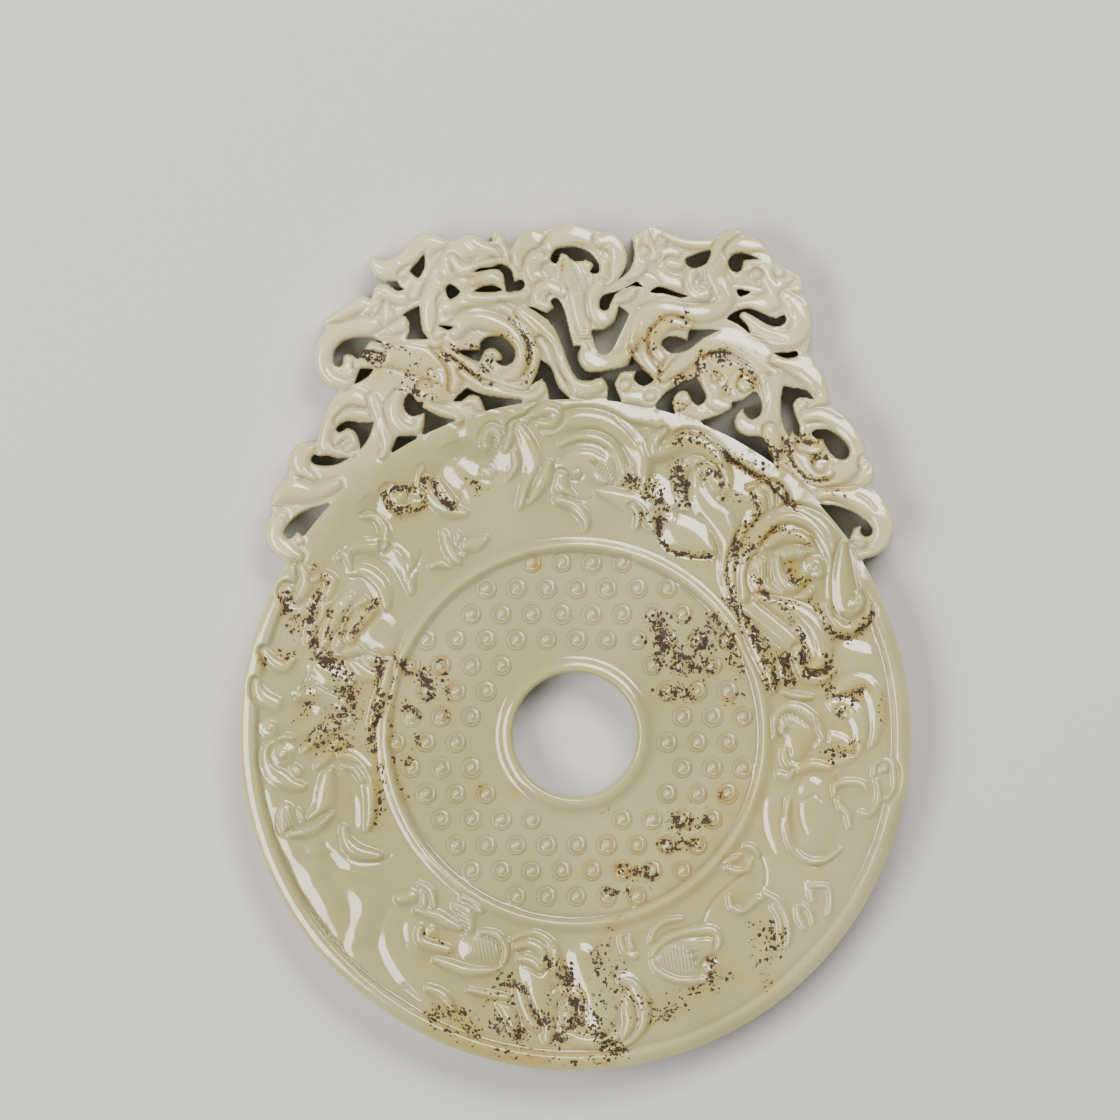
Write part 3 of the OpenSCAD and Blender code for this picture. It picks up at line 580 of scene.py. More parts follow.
# %% Crest, left half
CREST_LEFT = [
    [[312, 447, 5], [301, 455, 9], [301, 468, 7], [312, 478, 4]],
    [[275, 497, 7], [290, 490, 10], [312, 492, 8], [336, 484, 5]],
    [[282, 516, 5], [275, 532, 8], [282, 547, 9], [298, 556, 5]],
    [[292, 534, 3], [300, 541, 3]],
    [[372, 404, 6], [352, 399, 10], [337, 410, 9], [327, 425, 8], [324, 442, 7], [335, 452, 6],
     [350, 453, 4]],
    [[338, 421, 3], [351, 413, 5], [368, 415, 4]],
    [[336, 441, 3], [342, 433, 5], [351, 433, 5], [355, 443, 4], [347, 448, 3]],
    [[372, 398, 4], [379, 412, 6], [385, 430, 7], [387, 446, 5], [382, 456, 3]],
    [[398, 394, 4], [394, 408, 7], [398, 422, 7], [408, 430, 6], [418, 427, 4], [421, 418, 3]],
    [[392, 322, 8], [370, 325, 9], [346, 329, 9], [328, 342, 8], [321, 360, 8], [327, 376, 8],
     [342, 382, 6], [353, 372, 5], [354, 361, 3]],
    [[342, 360, 3], [349, 364, 6], [350, 372, 5]],
    [[322, 321, 3], [338, 313, 6], [356, 304, 8], [373, 303, 9], [388, 299, 7]],
    [[376, 289, 5], [388, 292, 7], [402, 298, 6]],
    [[386, 306, 3], [390, 319, 7], [398, 327, 7], [405, 321, 5], [405, 314, 2]],
    [[371, 258, 3], [379, 270, 8], [396, 268, 10], [410, 257, 10], [428, 243, 9], [446, 240, 6]],
    [[402, 274, 3], [412, 272, 5], [418, 283, 5], [414, 295, 4]],
    [[382, 356, 8], [402, 352, 13], [424, 356, 16], [443, 368, 16], [446, 386, 12], [428, 392, 10]],
    [[436, 347, 3], [450, 360, 5], [457, 374, 6], [454, 388, 4]],
    [[362, 349, 3], [371, 346, 4], [381, 350, 3]],
    [[359, 357, 3], [369, 356, 4], [380, 358, 3]],
    [[357, 365, 3], [367, 364, 3], [378, 364, 3]],
    [[424, 406, 3], [440, 411, 4], [458, 420, 4]],
    [[462, 400, 4], [472, 400, 5], [480, 406, 4]],
    [[436, 342, 5], [429, 324, 7], [431, 304, 8], [438, 286, 9], [448, 268, 9]],
    [[445, 301, 6], [446, 320, 6], [438, 334, 4]],
    [[448, 270, 8], [458, 254, 10], [474, 245, 11], [490, 250, 11], [503, 256, 7]],
    [[495, 238, 5], [505, 245, 5], [509, 260, 4], [515, 276, 3]],
    [[475, 281, 5], [488, 276, 6], [500, 282, 4]],
    [[452, 258, 3], [462, 270, 5], [476, 268, 4], [494, 261, 3]],
    [[450, 305, 7], [472, 298, 8], [498, 296, 6], [524, 295, 5]],
    [[456, 330, 7], [470, 319, 8], [490, 321, 8], [508, 331, 8], [519, 346, 7], [521, 362, 6],
     [512, 375, 6], [500, 383, 5]],
    [[502, 307, 4], [520, 318, 5], [532, 336, 5], [536, 356, 5], [531, 376, 3]],
    [[500, 357, 3], [492, 350, 5], [485, 359, 6], [487, 371, 5], [496, 379, 4]],
    [[446, 350, 3], [466, 359, 5], [480, 374, 5], [498, 386, 5], [520, 390, 5]],
    [[462, 372, 3], [476, 382, 4], [496, 391, 5], [522, 397, 4], [538, 394, 4], [544, 384, 4]],
    [[522, 312, 5], [538, 326, 7], [551, 343, 8], [560, 362, 8], [570, 379, 8], [586, 388, 8],
     [601, 384, 6]],
    [[540, 340, 3], [548, 352, 4], [554, 372, 4], [566, 392, 4]],
]
for row in CREST_LEFT:
    body(row, top=4.86, ground=4.3, ditch=3.0, skirt=1.25, lean=0.1)

# %% Crest, right half
CREST_RIGHT = [
    [[520, 262, 6], [523, 246, 9], [534, 238, 8], [545, 240, 5]],
    [[548, 248, 5], [560, 238, 8], [578, 233, 8], [596, 240, 6]],
    [[600, 240, 5], [614, 242, 8], [620, 256, 7], [614, 272, 6], [602, 282, 4]],
    [[604, 262, 4], [604, 276, 4]],
    [[548, 258, 3], [536, 258, 6], [533, 270, 7], [542, 282, 6], [556, 284, 5]],
    [[560, 256, 4], [566, 266, 6], [562, 278, 5]],
    [[582, 262, 4], [590, 266, 4], [588, 276, 4], [594, 284, 3]],
    [[570, 260, 4], [574, 276, 9], [578, 292, 8], [582, 312, 8], [586, 330, 7]],
    [[562, 292, 4], [550, 286, 5], [540, 292, 6], [542, 304, 5], [552, 303, 3]],
    [[600, 284, 4], [594, 298, 6], [598, 314, 7], [608, 318, 6], [615, 308, 4]],
    [[582, 346, 5], [588, 358, 8], [604, 364, 7], [624, 357, 5], [634, 342, 6], [640, 328, 5]],
    [[646, 238, 8], [661, 246, 12], [676, 256, 10], [668, 268, 7]],
    [[636, 240, 5], [640, 256, 6], [640, 268, 5], [628, 276, 4]],
    [[645, 228, 2], [649, 243, 4], [654, 256, 4]],
    [[644, 251, 4]],
    [[663, 241, 4]],
    [[668, 234, 4], [682, 240, 5], [704, 243, 5], [720, 242, 5]],
    [[670, 262, 4], [680, 264, 4], [686, 258, 4]],
    [[660, 272, 3], [668, 280, 6], [684, 284, 6]],
    [[694, 268, 3], [692, 282, 6], [700, 293, 7], [712, 288, 5]],
    [[634, 288, 4], [628, 296, 4], [616, 300, 3]],
    [[742, 232, 7], [728, 244, 8], [720, 258, 8], [716, 274, 8], [722, 287, 8], [724, 300, 8],
     [712, 311, 7], [688, 312, 7], [664, 308, 8], [646, 318, 8], [639, 336, 8], [644, 356, 7],
     [656, 372, 4]],
    [[690, 326, 3], [672, 322, 5], [658, 333, 5], [656, 349, 5], [666, 361, 4]],
    [[640, 375, 4], [625, 377, 6], [622, 390, 7], [636, 396, 6], [652, 396, 7], [664, 384, 6],
     [672, 366, 6], [678, 354, 4]],
    [[626, 385, 4]],
    [[651, 396, 4]],
    [[680, 402, 6]],
    [[687, 398, 5]],
    [[730, 250, 4], [742, 244, 6], [758, 247, 7], [767, 260, 5]],
    [[746, 266, 5], [760, 264, 9], [772, 278, 9], [777, 293, 8], [768, 303, 7], [752, 303, 5],
     [740, 304, 3]],
    [[757, 274, 4]],
    [[780, 272, 4]],
    [[790, 279, 3]],
    [[797, 288, 5]],
    [[786, 296, 5], [797, 308, 8], [802, 324, 8], [793, 338, 7], [774, 338, 7], [756, 328, 6],
     [744, 316, 4]],
    [[664, 378, 3], [684, 362, 6], [702, 347, 7], [726, 339, 9], [750, 349, 10], [766, 366, 10],
     [773, 386, 9], [775, 406, 8], [768, 422, 8], [752, 429, 7], [740, 420, 5], [740, 412, 3]],
    [[738, 374, 3], [735, 386, 6], [744, 395, 6]],
    [[746, 384, 6]],
    [[704, 362, 4], [708, 376, 7], [712, 392, 8], [716, 402, 6], [728, 406, 4]],
    [[770, 430, 5], [775, 444, 6], [778, 456, 3]],
    [[776, 360, 4], [790, 362, 7], [806, 370, 9], [819, 382, 9], [824, 396, 6], [816, 406, 5]],
    [[797, 414, 4], [796, 404, 5], [804, 398, 5]],
    [[803, 404, 4]],
    [[806, 416, 4], [822, 414, 6], [842, 423, 8], [856, 438, 9], [858, 454, 7], [848, 468, 8],
     [832, 480, 6], [812, 480, 3]],
    [[791, 432, 3], [796, 446, 6], [804, 462, 7], [814, 472, 6], [828, 472, 5]],
    [[802, 446, 4], [815, 449, 4], [824, 442, 3]],
    [[821, 465, 5]],
    [[866, 462, 5], [868, 474, 6], [862, 482, 4]],
    [[822, 494, 4], [842, 494, 6], [862, 500, 9], [879, 512, 9], [886, 530, 9], [879, 546, 8],
     [864, 552, 6]],
    [[850, 538, 3], [857, 530, 5], [861, 542, 5]],
]
for row in CREST_RIGHT:
    body(row, top=4.69, ground=4.25, ditch=3.0, skirt=1.25, lean=0.3, flat=4.0)

# %% [markdown]
# ## Fine lines
#
# Eyes, shoulder spirals, jaw lines and folds are cut with a thin wheel after the forms are round.
# A line row lists the points of a groove. A spiral row gives its middle, radius, number of turns,
# start angle and hand. A boss is a small raised dot.

# %% Lines
LINES = [
    [[560, 458], [572, 450], [590, 449], [604, 456]],
    [[558, 486], [566, 495], [580, 500], [592, 498]],
    [[617, 420], [628, 430], [638, 443]],
    [[700, 515], [712, 532], [719, 552], [723, 573]],
    [[661, 516], [657, 530], [665, 547], [684, 556], [712, 558]],
    [[770, 518], [790, 511], [812, 520], [828, 540], [833, 556]],
    [[755, 570], [760, 547], [775, 532], [800, 530], [814, 540]],
    [[737, 604], [748, 622], [758, 644], [768, 668]],
    [[775, 604], [794, 614], [810, 630], [816, 648]],
    [[800, 806], [801, 820], [806, 834]],
    [[806, 800], [814, 794], [822, 800]],
    [[783, 800], [786, 826], [796, 852], [814, 866], [834, 860]],
    [[747, 872], [722, 892], [709, 908], [703, 922]],
    [[761, 856], [766, 872], [765, 886]],
    [[700, 924], [690, 928], [668, 932], [656, 944]],
    [[552, 992], [560, 984], [570, 988], [578, 1004], [574, 1022], [562, 1030], [553, 1020]],
    [[616, 978], [634, 978], [648, 994], [652, 1014], [646, 1032], [630, 1046]],
    [[505, 940], [520, 934], [540, 936], [554, 950]],
    [[518, 952], [532, 950], [544, 960]],
    [[436, 964], [450, 972], [470, 978], [490, 976]],
    [[334, 752], [352, 753], [367, 766], [376, 790], [375, 812]],
    [[340, 766], [354, 766], [364, 782]],
    [[338, 836], [342, 852], [356, 862], [380, 862], [390, 856]],
    [[360, 514], [376, 512], [388, 524], [389, 542]],
    [[338, 553], [358, 543], [380, 542], [400, 552], [411, 570]],
    [[350, 577], [362, 578], [374, 588], [380, 600]],
    [[422, 550], [416, 566], [406, 580]],
    [[325, 600], [317, 616], [311, 636]],
    [[340, 604], [331, 620], [325, 640]],
    [[356, 606], [346, 622], [339, 640]],
    [[378, 600], [364, 618], [350, 637]],
    [[316, 652], [308, 674], [294, 698]],
    [[540, 470], [535, 482], [527, 498]],
    [[465, 402], [486, 408], [512, 412]],
    [[385, 345], [402, 342], [422, 345], [440, 350]],
    [[322, 322], [338, 322], [352, 318], [366, 308]],
    [[370, 314], [376, 306], [384, 301]],
    [[400, 262], [414, 252], [430, 248]],
    [[380, 252], [392, 256], [404, 250]],
    [[446, 296], [446, 312], [442, 326]],
    [[470, 258], [486, 256], [504, 258]],
    [[466, 240], [474, 250], [490, 254]],
    [[452, 296], [474, 302], [500, 302], [522, 298]],
    [[500, 310], [518, 322], [528, 340], [530, 360], [522, 376]],
    [[470, 312], [492, 312], [512, 322]],
    [[440, 348], [458, 360], [474, 376], [492, 388], [520, 394]],
    [[534, 342], [538, 336], [546, 336], [554, 344], [560, 356]],
    [[556, 366], [566, 380], [580, 392]],
    [[572, 262], [580, 282], [588, 304], [592, 330]],
    [[562, 290], [568, 310], [574, 330]],
    [[626, 352], [636, 336], [640, 322]],
    [[646, 272], [656, 276], [664, 284]],
    [[688, 274], [690, 288], [698, 300], [712, 302], [720, 294]],
    [[640, 306], [664, 300], [692, 304], [712, 302]],
    [[650, 320], [668, 314], [692, 318], [712, 318]],
    [[648, 330], [648, 348], [656, 366]],
    [[730, 240], [722, 252], [712, 268]],
    [[736, 284], [752, 286], [764, 290], [752, 298]],
    [[742, 262], [752, 266], [768, 266], [778, 282]],
    [[748, 322], [762, 332], [780, 338]],
    [[750, 328], [766, 337], [784, 341]],
    [[788, 300], [794, 316], [788, 330]],
    [[668, 378], [676, 364], [682, 352]],
    [[700, 382], [700, 366], [708, 354], [726, 350]],
    [[722, 376], [728, 388], [740, 396]],
    [[766, 384], [768, 400], [762, 416]],
    [[784, 366], [800, 372], [814, 384], [820, 396]],
    [[808, 410], [824, 408], [842, 417]],
    [[808, 424], [826, 422], [844, 434], [850, 448]],
    [[796, 440], [806, 447], [818, 448], [826, 444]],
    [[826, 488], [846, 488], [862, 484]],
    [[858, 494], [868, 500], [876, 510]],
    [[338, 406], [352, 404], [368, 408]],
    [[330, 430], [330, 442], [338, 450]],
    [[372, 400], [378, 412], [380, 428]],
    [[300, 478], [310, 483], [324, 484]],
    [[400, 416], [408, 424], [420, 424]],
    [[402, 410], [410, 418], [420, 419]],
]
for row in LINES:
    groove([(*point, 0) for point in row], wide=2.4, deep=0.14)
print("lines:", len(LINES))

# %% Spirals and bosses
SPIRALS = [
    (577, 473, 8, 1.2, 200, 1), (815, 568, 6, 1.1, 180, 1), (851, 603, 8, 1.2, 90, -1),
    (712, 968, 7, 1.2, 180, 1), (432, 932, 6, 1.1, 0, 1), (486, 472, 12, 1.1, 60, -1),
    (841, 713, 9, 1.2, 0, 1), (885, 770, 7, 1.2, 180, -1), (564, 1008, 8, 1.1, 90, 1),
    (436, 377, 10, 1.25, 60, 1), (541, 252, 9, 1.3, 0, 1), (608, 250, 7, 1.1, 200, -1),
    (746, 384, 9, 1.3, 200, 1), (717, 380, 8, 1.0, 0, 1), (702, 284, 8, 1.1, 120, 1),
    (545, 297, 7, 1.2, 0, 1), (803, 404, 7, 1.2, 200, -1), (757, 274, 6, 1.0, 0, 1),
    (821, 465, 8, 1.1, 120, 1), (866, 466, 7, 1.0, 180, 1), (644, 251, 6, 1.0, 0, 1),
    (663, 241, 6, 1.0, 0, 1), (345, 440, 8, 1.2, 200, 1), (349, 366, 7, 1.1, 180, -1),
    (270, 728, 9, 1.0, 0, 1), (283, 754, 11, 1.0, 90, 1), (400, 497, 8, 1.0, 0, 1),
    (487, 359, 7, 1.0, 200, 1), (655, 481, 8, 1.0, 90, 1),
]
BOSSES = [
    (270, 728, 4), (283, 754, 5), (655, 481, 4), (577, 473, 4), (644, 251, 3), (663, 241, 3),
    (757, 274, 3), (885, 770, 3), (712, 968, 4), (400, 497, 4), (565, 1008, 4),
]

BOSS_H, BOSS_FALL = 0.22, 1.2

for x, y, radius, turns, start, hand in SPIRALS:
    spiral(x, y, radius, turns, start, hand, wide=2.2, deep=0.15)
for x, y, radius in BOSSES:
    win, off = around(x, y, 2 * radius)
    HEIGHT[win] += BOSS_H * np.exp(-BOSS_FALL * (off / radius) ** 2)
print("spirals:", len(SPIRALS), "bosses:", len(BOSSES))

# %% [markdown]
# ## Round edges
#
# Polished jade has no sharp edge. Near the crest's outline the face falls away in an arc, which also
# turns the thin bars between the openings half round. The arc is shorter in the right half, where the
# tops are flatter, and much smaller on the back. Nothing may stand above the plate's own thickness, so
# heights past the knee level off toward it.

# %% Carved plate
ARC, ARC_RIGHT = 9.5, 6.5
RIGHT_FROM, RIGHT_OVER = 480, 140
ARC_FOOT, ARC_RISE = 3.68, 1.25
NO_LIMIT = 9.0
BLEND = 0.16
WEAR, EDGE_EASE = 0.6, 1.4
INTO_CREST = 2
BACK_ARC = 3.0
BACK_DROP = 0.25
TOP = 4.985
KNEE = 4.88


def arc(depth, reach):
    """Height of a quarter ellipse at this depth inside an edge, as a share."""
    return np.sqrt(1 - (1 - np.clip(depth / reach, 0, 1)) ** 2)


def finished_height():
    """The drawn map, worn by polishing and rounded toward the crest's outline."""
    worn = softened(HEIGHT, WEAR)
    worn = np.where(worn > KNEE, KNEE + (TOP - KNEE) * np.tanh((worn - KNEE) / (TOP - KNEE)), worn)
    depth = -softened(CREST_EDGE, EDGE_EASE)
    reach = ARC + (ARC_RIGHT - ARC) * eased((X - RIGHT_FROM) / RIGHT_OVER)
    limit = np.where(CREST_EDGE > -EDGE_REACH, ARC_FOOT + ARC_RISE * arc(depth, reach), NO_LIMIT)
    limit = np.where(R < SHEET_R + INTO_CREST, NO_LIMIT, limit)
    share = np.clip(0.5 + (limit - worn) / (2 * BLEND), 0, 1)
    return limit + (worn - limit) * share - BLEND * share * (1 - share)


FRONT = finished_height()
BACK = BACK_DROP * (1 - arc(-EDGE, BACK_ARC))
print("finished face: up to", round(FRONT[EDGE < 0].max(), 3), "mm over the back")

# %% [markdown]
# ## Stains and hatching
#
# Iron in the ground stained the jade ochre, and dark brown specks sit where the polish never reached.
# These maps only say where and how much. The material turns them into colour, so that each stain
# breaks up into its own specks. A stain row is a run, then its share of ochre and of specks. A wash
# row is a run, its share of ochre and the width over which it fades. Hatching is too fine for the
# height map, so a row gives its run, angle and spacing, and the material ribs it from its phase.

# %% Stains
STAINS = [
    ([[392, 372, 24], [420, 374, 34], [436, 384, 22]], 0.8, 0.25),
    ([[362, 352, 5], [378, 356, 9]], 0.5, 0.9),
    ([[404, 384, 8], [416, 392, 8]], 0.5, 0.8),
    ([[440, 354, 4], [462, 364, 6], [480, 374, 6], [490, 385, 4]], 0.5, 0.8),
    ([[456, 350, 5], [478, 350, 5]], 0.8, 0.6),
    ([[484, 352, 7], [488, 372, 8]], 0.2, 0.6),
    ([[498, 332, 4], [512, 342, 5]], 0.9, 0.3),
    ([[514, 320, 5], [524, 334, 6], [530, 352, 6], [527, 384, 5]], 0.5, 0.6),
    ([[536, 322, 8], [556, 336, 7]], 0.6, 0.2),
    ([[632, 358, 5], [638, 342, 5]], 1.0, 0.6),
    ([[652, 332, 5], [652, 350, 5]], 1.0, 0.5),
    ([[662, 321, 4], [674, 321, 4], [688, 324, 4]], 0.9, 0.5),
    ([[636, 364, 4], [656, 378, 5], [664, 366, 4]], 0.7, 0.7),
    ([[676, 382, 6], [696, 376, 7], [702, 356, 5]], 1.0, 0.7),
    ([[706, 353, 4], [724, 354, 7]], 0.8, 1.0),
    ([[716, 376, 7]], 0.9, 0.4),
    ([[727, 390, 5]], 0.8, 0.5),
    ([[742, 376, 4], [757, 380, 6], [754, 392, 4]], 0.9, 0.6),
    ([[774, 364, 5]], 0.7, 0.3),
    ([[734, 364, 28]], 0.15, 0.25),
    ([[786, 424, 3], [789, 446, 5], [796, 468, 5], [812, 480, 4], [826, 479, 3]], 0.8, 0.9),
    ([[796, 438, 4], [812, 443, 6], [820, 441, 3]], 1.0, 0.7),
    ([[815, 457, 5], [826, 457, 4]], 0.9, 0.8),
    ([[766, 442, 3], [772, 458, 5]], 0.7, 0.8),
    ([[778, 448, 3], [778, 460, 4]], 0.5, 0.9),
    ([[831, 497, 7], [846, 494, 6]], 0.9, 0.4),
    ([[562, 264, 4]], 0.6, 0.1),
    ([[477, 281, 4]], 0.8, 0.1),
    ([[686, 311, 5]], 0.1, 0.9),
    ([[436, 392, 12]], 0.5, 0.5),
    ([[384, 346, 6], [404, 352, 6]], 0.5, 0.6),
    ([[699, 442, 4], [726, 455, 5], [752, 470, 6], [779, 490, 6], [796, 508, 4]], 0.6, 0.8),
    ([[674, 444, 5], [690, 436, 5], [706, 441, 5], [720, 466, 5], [722, 496, 4]], 0.7, 0.8),
    ([[628, 478, 8], [648, 490, 14], [662, 506, 10]], 0.5, 0.9),
    ([[678, 466, 8], [684, 500, 9]], 0.5, 1.0),
    ([[706, 470, 9], [716, 478, 7]], 0.6, 0.8),
    ([[640, 516, 6], [664, 520, 5]], 0.4, 0.6),
    ([[660, 516, 4], [660, 538, 4], [680, 554, 4], [708, 556, 4]], 0.6, 0.8),
    ([[722, 486, 5], [736, 500, 6]], 0.4, 0.8),
    ([[750, 490, 6], [756, 510, 5], [738, 542, 5], [730, 572, 5], [730, 594, 5]], 0.7, 0.9),
    ([[776, 486, 5], [790, 502, 7]], 0.5, 1.0),
    ([[742, 560, 6], [756, 540, 5], [778, 530, 5], [810, 542, 4]], 0.8, 0.7),
    ([[790, 562, 4], [796, 582, 5], [806, 580, 4]], 0.9, 0.7),
    ([[756, 578, 4], [770, 600, 4], [796, 606, 4]], 0.6, 0.8),
    ([[730, 598, 5], [748, 626, 8], [764, 652, 8], [772, 684, 8]], 0.7, 1.0),
    ([[778, 604, 4], [800, 628, 5], [806, 650, 4]], 0.7, 0.6),
    ([[784, 656, 6], [790, 682, 6]], 0.7, 1.0),
    ([[802, 656, 6], [806, 672, 7], [828, 672, 7], [826, 654, 4]], 0.8, 0.9),
    ([[812, 600, 3], [830, 630, 5], [852, 636, 6], [870, 616, 4]], 0.7, 0.8),
    ([[828, 690, 8], [844, 700, 9], [868, 688, 8]], 0.9, 0.7),
    ([[840, 714, 7]], 0.6, 1.0),
    ([[846, 746, 14], [830, 760, 6]], 1.0, 0.6),
    ([[880, 700, 7], [884, 730, 6]], 0.6, 0.3),
    ([[838, 780, 6]], 0.7, 0.2),
    ([[818, 868, 5]], 0.6, 0.1),
    ([[836, 620, 22]], 0.25, 0.2),
    ([[656, 620, 12], [668, 652, 22], [700, 668, 20]], 0.4, 0.85),
    ([[684, 640, 30], [716, 640, 22]], 0.3, 0.5),
    ([[660, 694, 8], [690, 696, 8]], 0.5, 0.7),
    ([[714, 616, 7], [730, 640, 8], [736, 672, 8]], 0.6, 0.8),
    ([[740, 700, 6], [726, 704, 5]], 0.5, 0.5),
    ([[390, 488, 3], [414, 489, 4]], 0.7, 1.0),
    ([[385, 496, 4], [398, 512, 4], [424, 504, 4]], 0.8, 0.9),
    ([[424, 480, 5], [425, 496, 5]], 0.8, 1.0),
    ([[430, 479, 3], [438, 492, 6], [452, 508, 5]], 0.5, 0.9),
    ([[468, 480, 3], [486, 487, 4]], 0.6, 0.9),
    ([[496, 502, 7]], 0.6, 0.4),
    ([[408, 508, 26]], 0.35, 0.05),
    ([[422, 528, 20]], 0.25, 0.05),
    ([[312, 566, 4], [328, 580, 4]], 0.7, 0.6),
    ([[284, 596, 6], [288, 612, 8], [300, 628, 7]], 0.5, 0.8),
    ([[318, 594, 5], [310, 620, 5], [316, 646, 6]], 0.7, 0.9),
    ([[330, 612, 3], [328, 636, 3]], 0.6, 0.7),
    ([[346, 612, 3], [340, 636, 3]], 0.6, 0.7),
    ([[376, 602, 3], [352, 636, 3]], 0.7, 0.7),
    ([[320, 656, 10], [340, 676, 16], [352, 700, 18], [330, 728, 16]], 0.55, 0.85),
    ([[380, 660, 5], [378, 700, 6], [372, 738, 5]], 0.7, 0.9),
    ([[312, 694, 10], [296, 722, 6]], 0.5, 0.5),
    ([[398, 658, 7], [408, 672, 7]], 0.6, 0.8),
    ([[424, 676, 12], [430, 694, 9]], 0.5, 0.8),
    ([[404, 706, 5], [416, 712, 6]], 0.5, 0.9),
    ([[442, 662, 5], [448, 714, 5]], 0.6, 0.5),
    ([[262, 662, 4], [290, 656, 4]], 0.6, 0.5),
    ([[310, 740, 8], [330, 746, 10], [366, 742, 8]], 0.7, 0.7),
    ([[376, 750, 4], [380, 786, 5], [378, 826, 4]], 0.8, 0.5),
    ([[402, 656, 2], [391, 695, 2], [390, 726, 2], [395, 771, 2], [406, 800, 2]], 0.5, 0.3),
    ([[408, 760, 6], [416, 740, 5]], 0.7, 0.7),
    ([[352, 806, 14]], 0.3, 0.1),
    ([[478, 790, 5]], 0.8, 0.2),
    ([[514, 792, 5]], 0.7, 0.1),
    ([[606, 812, 4]], 0.5, 0.5),
    ([[428, 936, 6], [448, 950, 6]], 0.5, 0.2),
    ([[424, 962, 6]], 0.6, 0.05),
    ([[432, 1018, 8], [452, 1012, 8], [474, 1036, 8]], 0.8, 0.8),
    ([[504, 982, 9], [524, 992, 8]], 0.4, 0.9),
    ([[496, 1020, 9], [520, 1036, 9]], 0.5, 0.8),
    ([[528, 1006, 6], [548, 1024, 9]], 0.6, 0.9),
    ([[548, 962, 5], [562, 972, 9], [572, 990, 12], [576, 1012, 12], [560, 1040, 12]], 0.6, 1.0),
    ([[588, 1016, 12], [604, 1042, 12], [624, 1052, 8]], 0.6, 0.8),
    ([[430, 1024, 4], [480, 1046, 5], [540, 1058, 5], [610, 1060, 4]], 0.9, 0.5),
    ([[596, 952, 8], [602, 978, 8], [620, 972, 5]], 0.5, 0.7),
    ([[585, 993, 6]], 1.0, 0.3),
    ([[630, 1000, 12], [650, 1004, 8]], 0.5, 0.6),
    ([[600, 1000, 60]], 0.35, 0.25),
    ([[520, 1010, 60]], 0.3, 0.25),
    ([[654, 1022, 6], [690, 996, 8], [716, 990, 6], [744, 976, 6]], 0.6, 0.8),
    ([[762, 956, 6], [778, 942, 6], [784, 932, 4]], 0.6, 0.9),
    ([[766, 984, 12]], 0.35, 0.3),
    ([[712, 960, 8], [712, 976, 7]], 0.7, 0.8),
    ([[708, 936, 6]], 0.7, 0.2),
    ([[600, 944, 5], [622, 918, 4]], 0.6, 0.3),
    ([[720, 798, 9]], 0.9, 0.6),
    ([[676, 822, 10], [708, 822, 6]], 0.7, 0.9),
    ([[664, 846, 7], [694, 846, 7]], 0.8, 0.7),
    ([[620, 870, 7], [648, 874, 9]], 0.9, 0.8),
    ([[608, 892, 6], [626, 892, 5]], 0.7, 0.7),
    ([[640, 856, 30], [700, 806, 26]], 0.3, 0.05),
    ([[738, 892, 5]], 0.6, 0.1),
    ([[536, 566, 4]], 0.8, 0.2),
    ([[532, 442, 3]], 0.7, 0.1),
    ([[668, 404, 3], [684, 407, 3]], 0.4, 0.6),
]
print("stains:", len(STAINS))

# %% Washes and hatched places
WASHES = [
    ([[640, 880, 30], [740, 830, 40], [830, 720, 30]], 0.42, 80.0),
    ([[700, 600, 20], [790, 600, 30]], 0.3, 60.0),
]
HATCHES = [
    ([[678, 466, 4], [678, 488, 5], [686, 510, 4]], 80, 3.4),
    ([[600, 466, 6], [608, 480, 6]], 150, 3.2),
    ([[780, 556, 5], [804, 550, 5]], 20, 3.4),
    ([[764, 566, 6], [766, 576, 6]], 0, 3.2),
    ([[776, 734, 5], [792, 714, 6], [814, 724, 6]], 20, 3.6),
    ([[664, 956, 9], [684, 960, 12]], 10, 3.6),
    ([[662, 1014, 3], [690, 1012, 3]], 0, 3.6),
    ([[484, 948, 12], [492, 950, 12]], 10, 3.6),
    ([[458, 904, 4], [464, 918, 5], [464, 934, 4]], 60, 3.4),
    ([[284, 816, 8], [286, 828, 8]], 20, 3.4),
    ([[304, 832, 5], [324, 820, 5]], 60, 3.2),
    ([[286, 596, 5], [308, 608, 6]], 30, 3.2),
    ([[484, 440, 5], [494, 434, 5]], 60, 3.2),
    ([[512, 424, 5], [508, 446, 5]], 75, 3.4),
    ([[274, 504, 5], [280, 512, 5]], 80, 3.6),
    ([[750, 332, 5], [776, 342, 6]], 75, 3.6),
    ([[856, 542, 5], [868, 546, 6]], 80, 3.4),
    ([[566, 262, 7], [572, 284, 8]], 130, 3.0),
    ([[576, 334, 6], [588, 336, 6]], 90, 3.6),
    ([[730, 350, 8], [762, 366, 9]], 60, 3.2),
    ([[460, 416, 4], [480, 408, 5]], 20, 3.0),
    ([[536, 388, 5], [544, 382, 4]], 60, 3.0),
    ([[634, 288, 5], [622, 294, 5]], 45, 3.2),
    ([[362, 352, 4], [376, 360, 6]], 80, 3.4),
    ([[498, 428, 5], [494, 446, 4]], 60, 3.0),
    ([[466, 344, 8], [480, 330, 6]], 60, 3.0),
]
print("washes:", len(WASHES), "hatched places:", len(HATCHES))

# %% Maps of stain, hollows and hatching
OCHRE_FADE, SPECKS_FADE = 9.0, 3.0
HATCH_REACH, HATCH_EASE = 3, 2.5
HOLLOW_REACH, HOLLOW_DEEP = 4.0, 0.22
GRAIN_HOLLOW_IN, GRAIN_HOLLOW_WIDE = 3, 2.5
CREST_EASE = 12
OCHRE, SPECKS = np.zeros(X.shape), np.zeros(X.shape)
HATCH, PHASE = np.zeros(X.shape), np.zeros(X.shape)


def tint(field, points, amount, soft):
    """Paints an amount along a run, fading out over the soft width."""
    win, gap, half = measured(smooth(points), soft)[:3]
    field[win] = np.maximum(field[win], amount * eased((soft - gap) / (half + soft)))


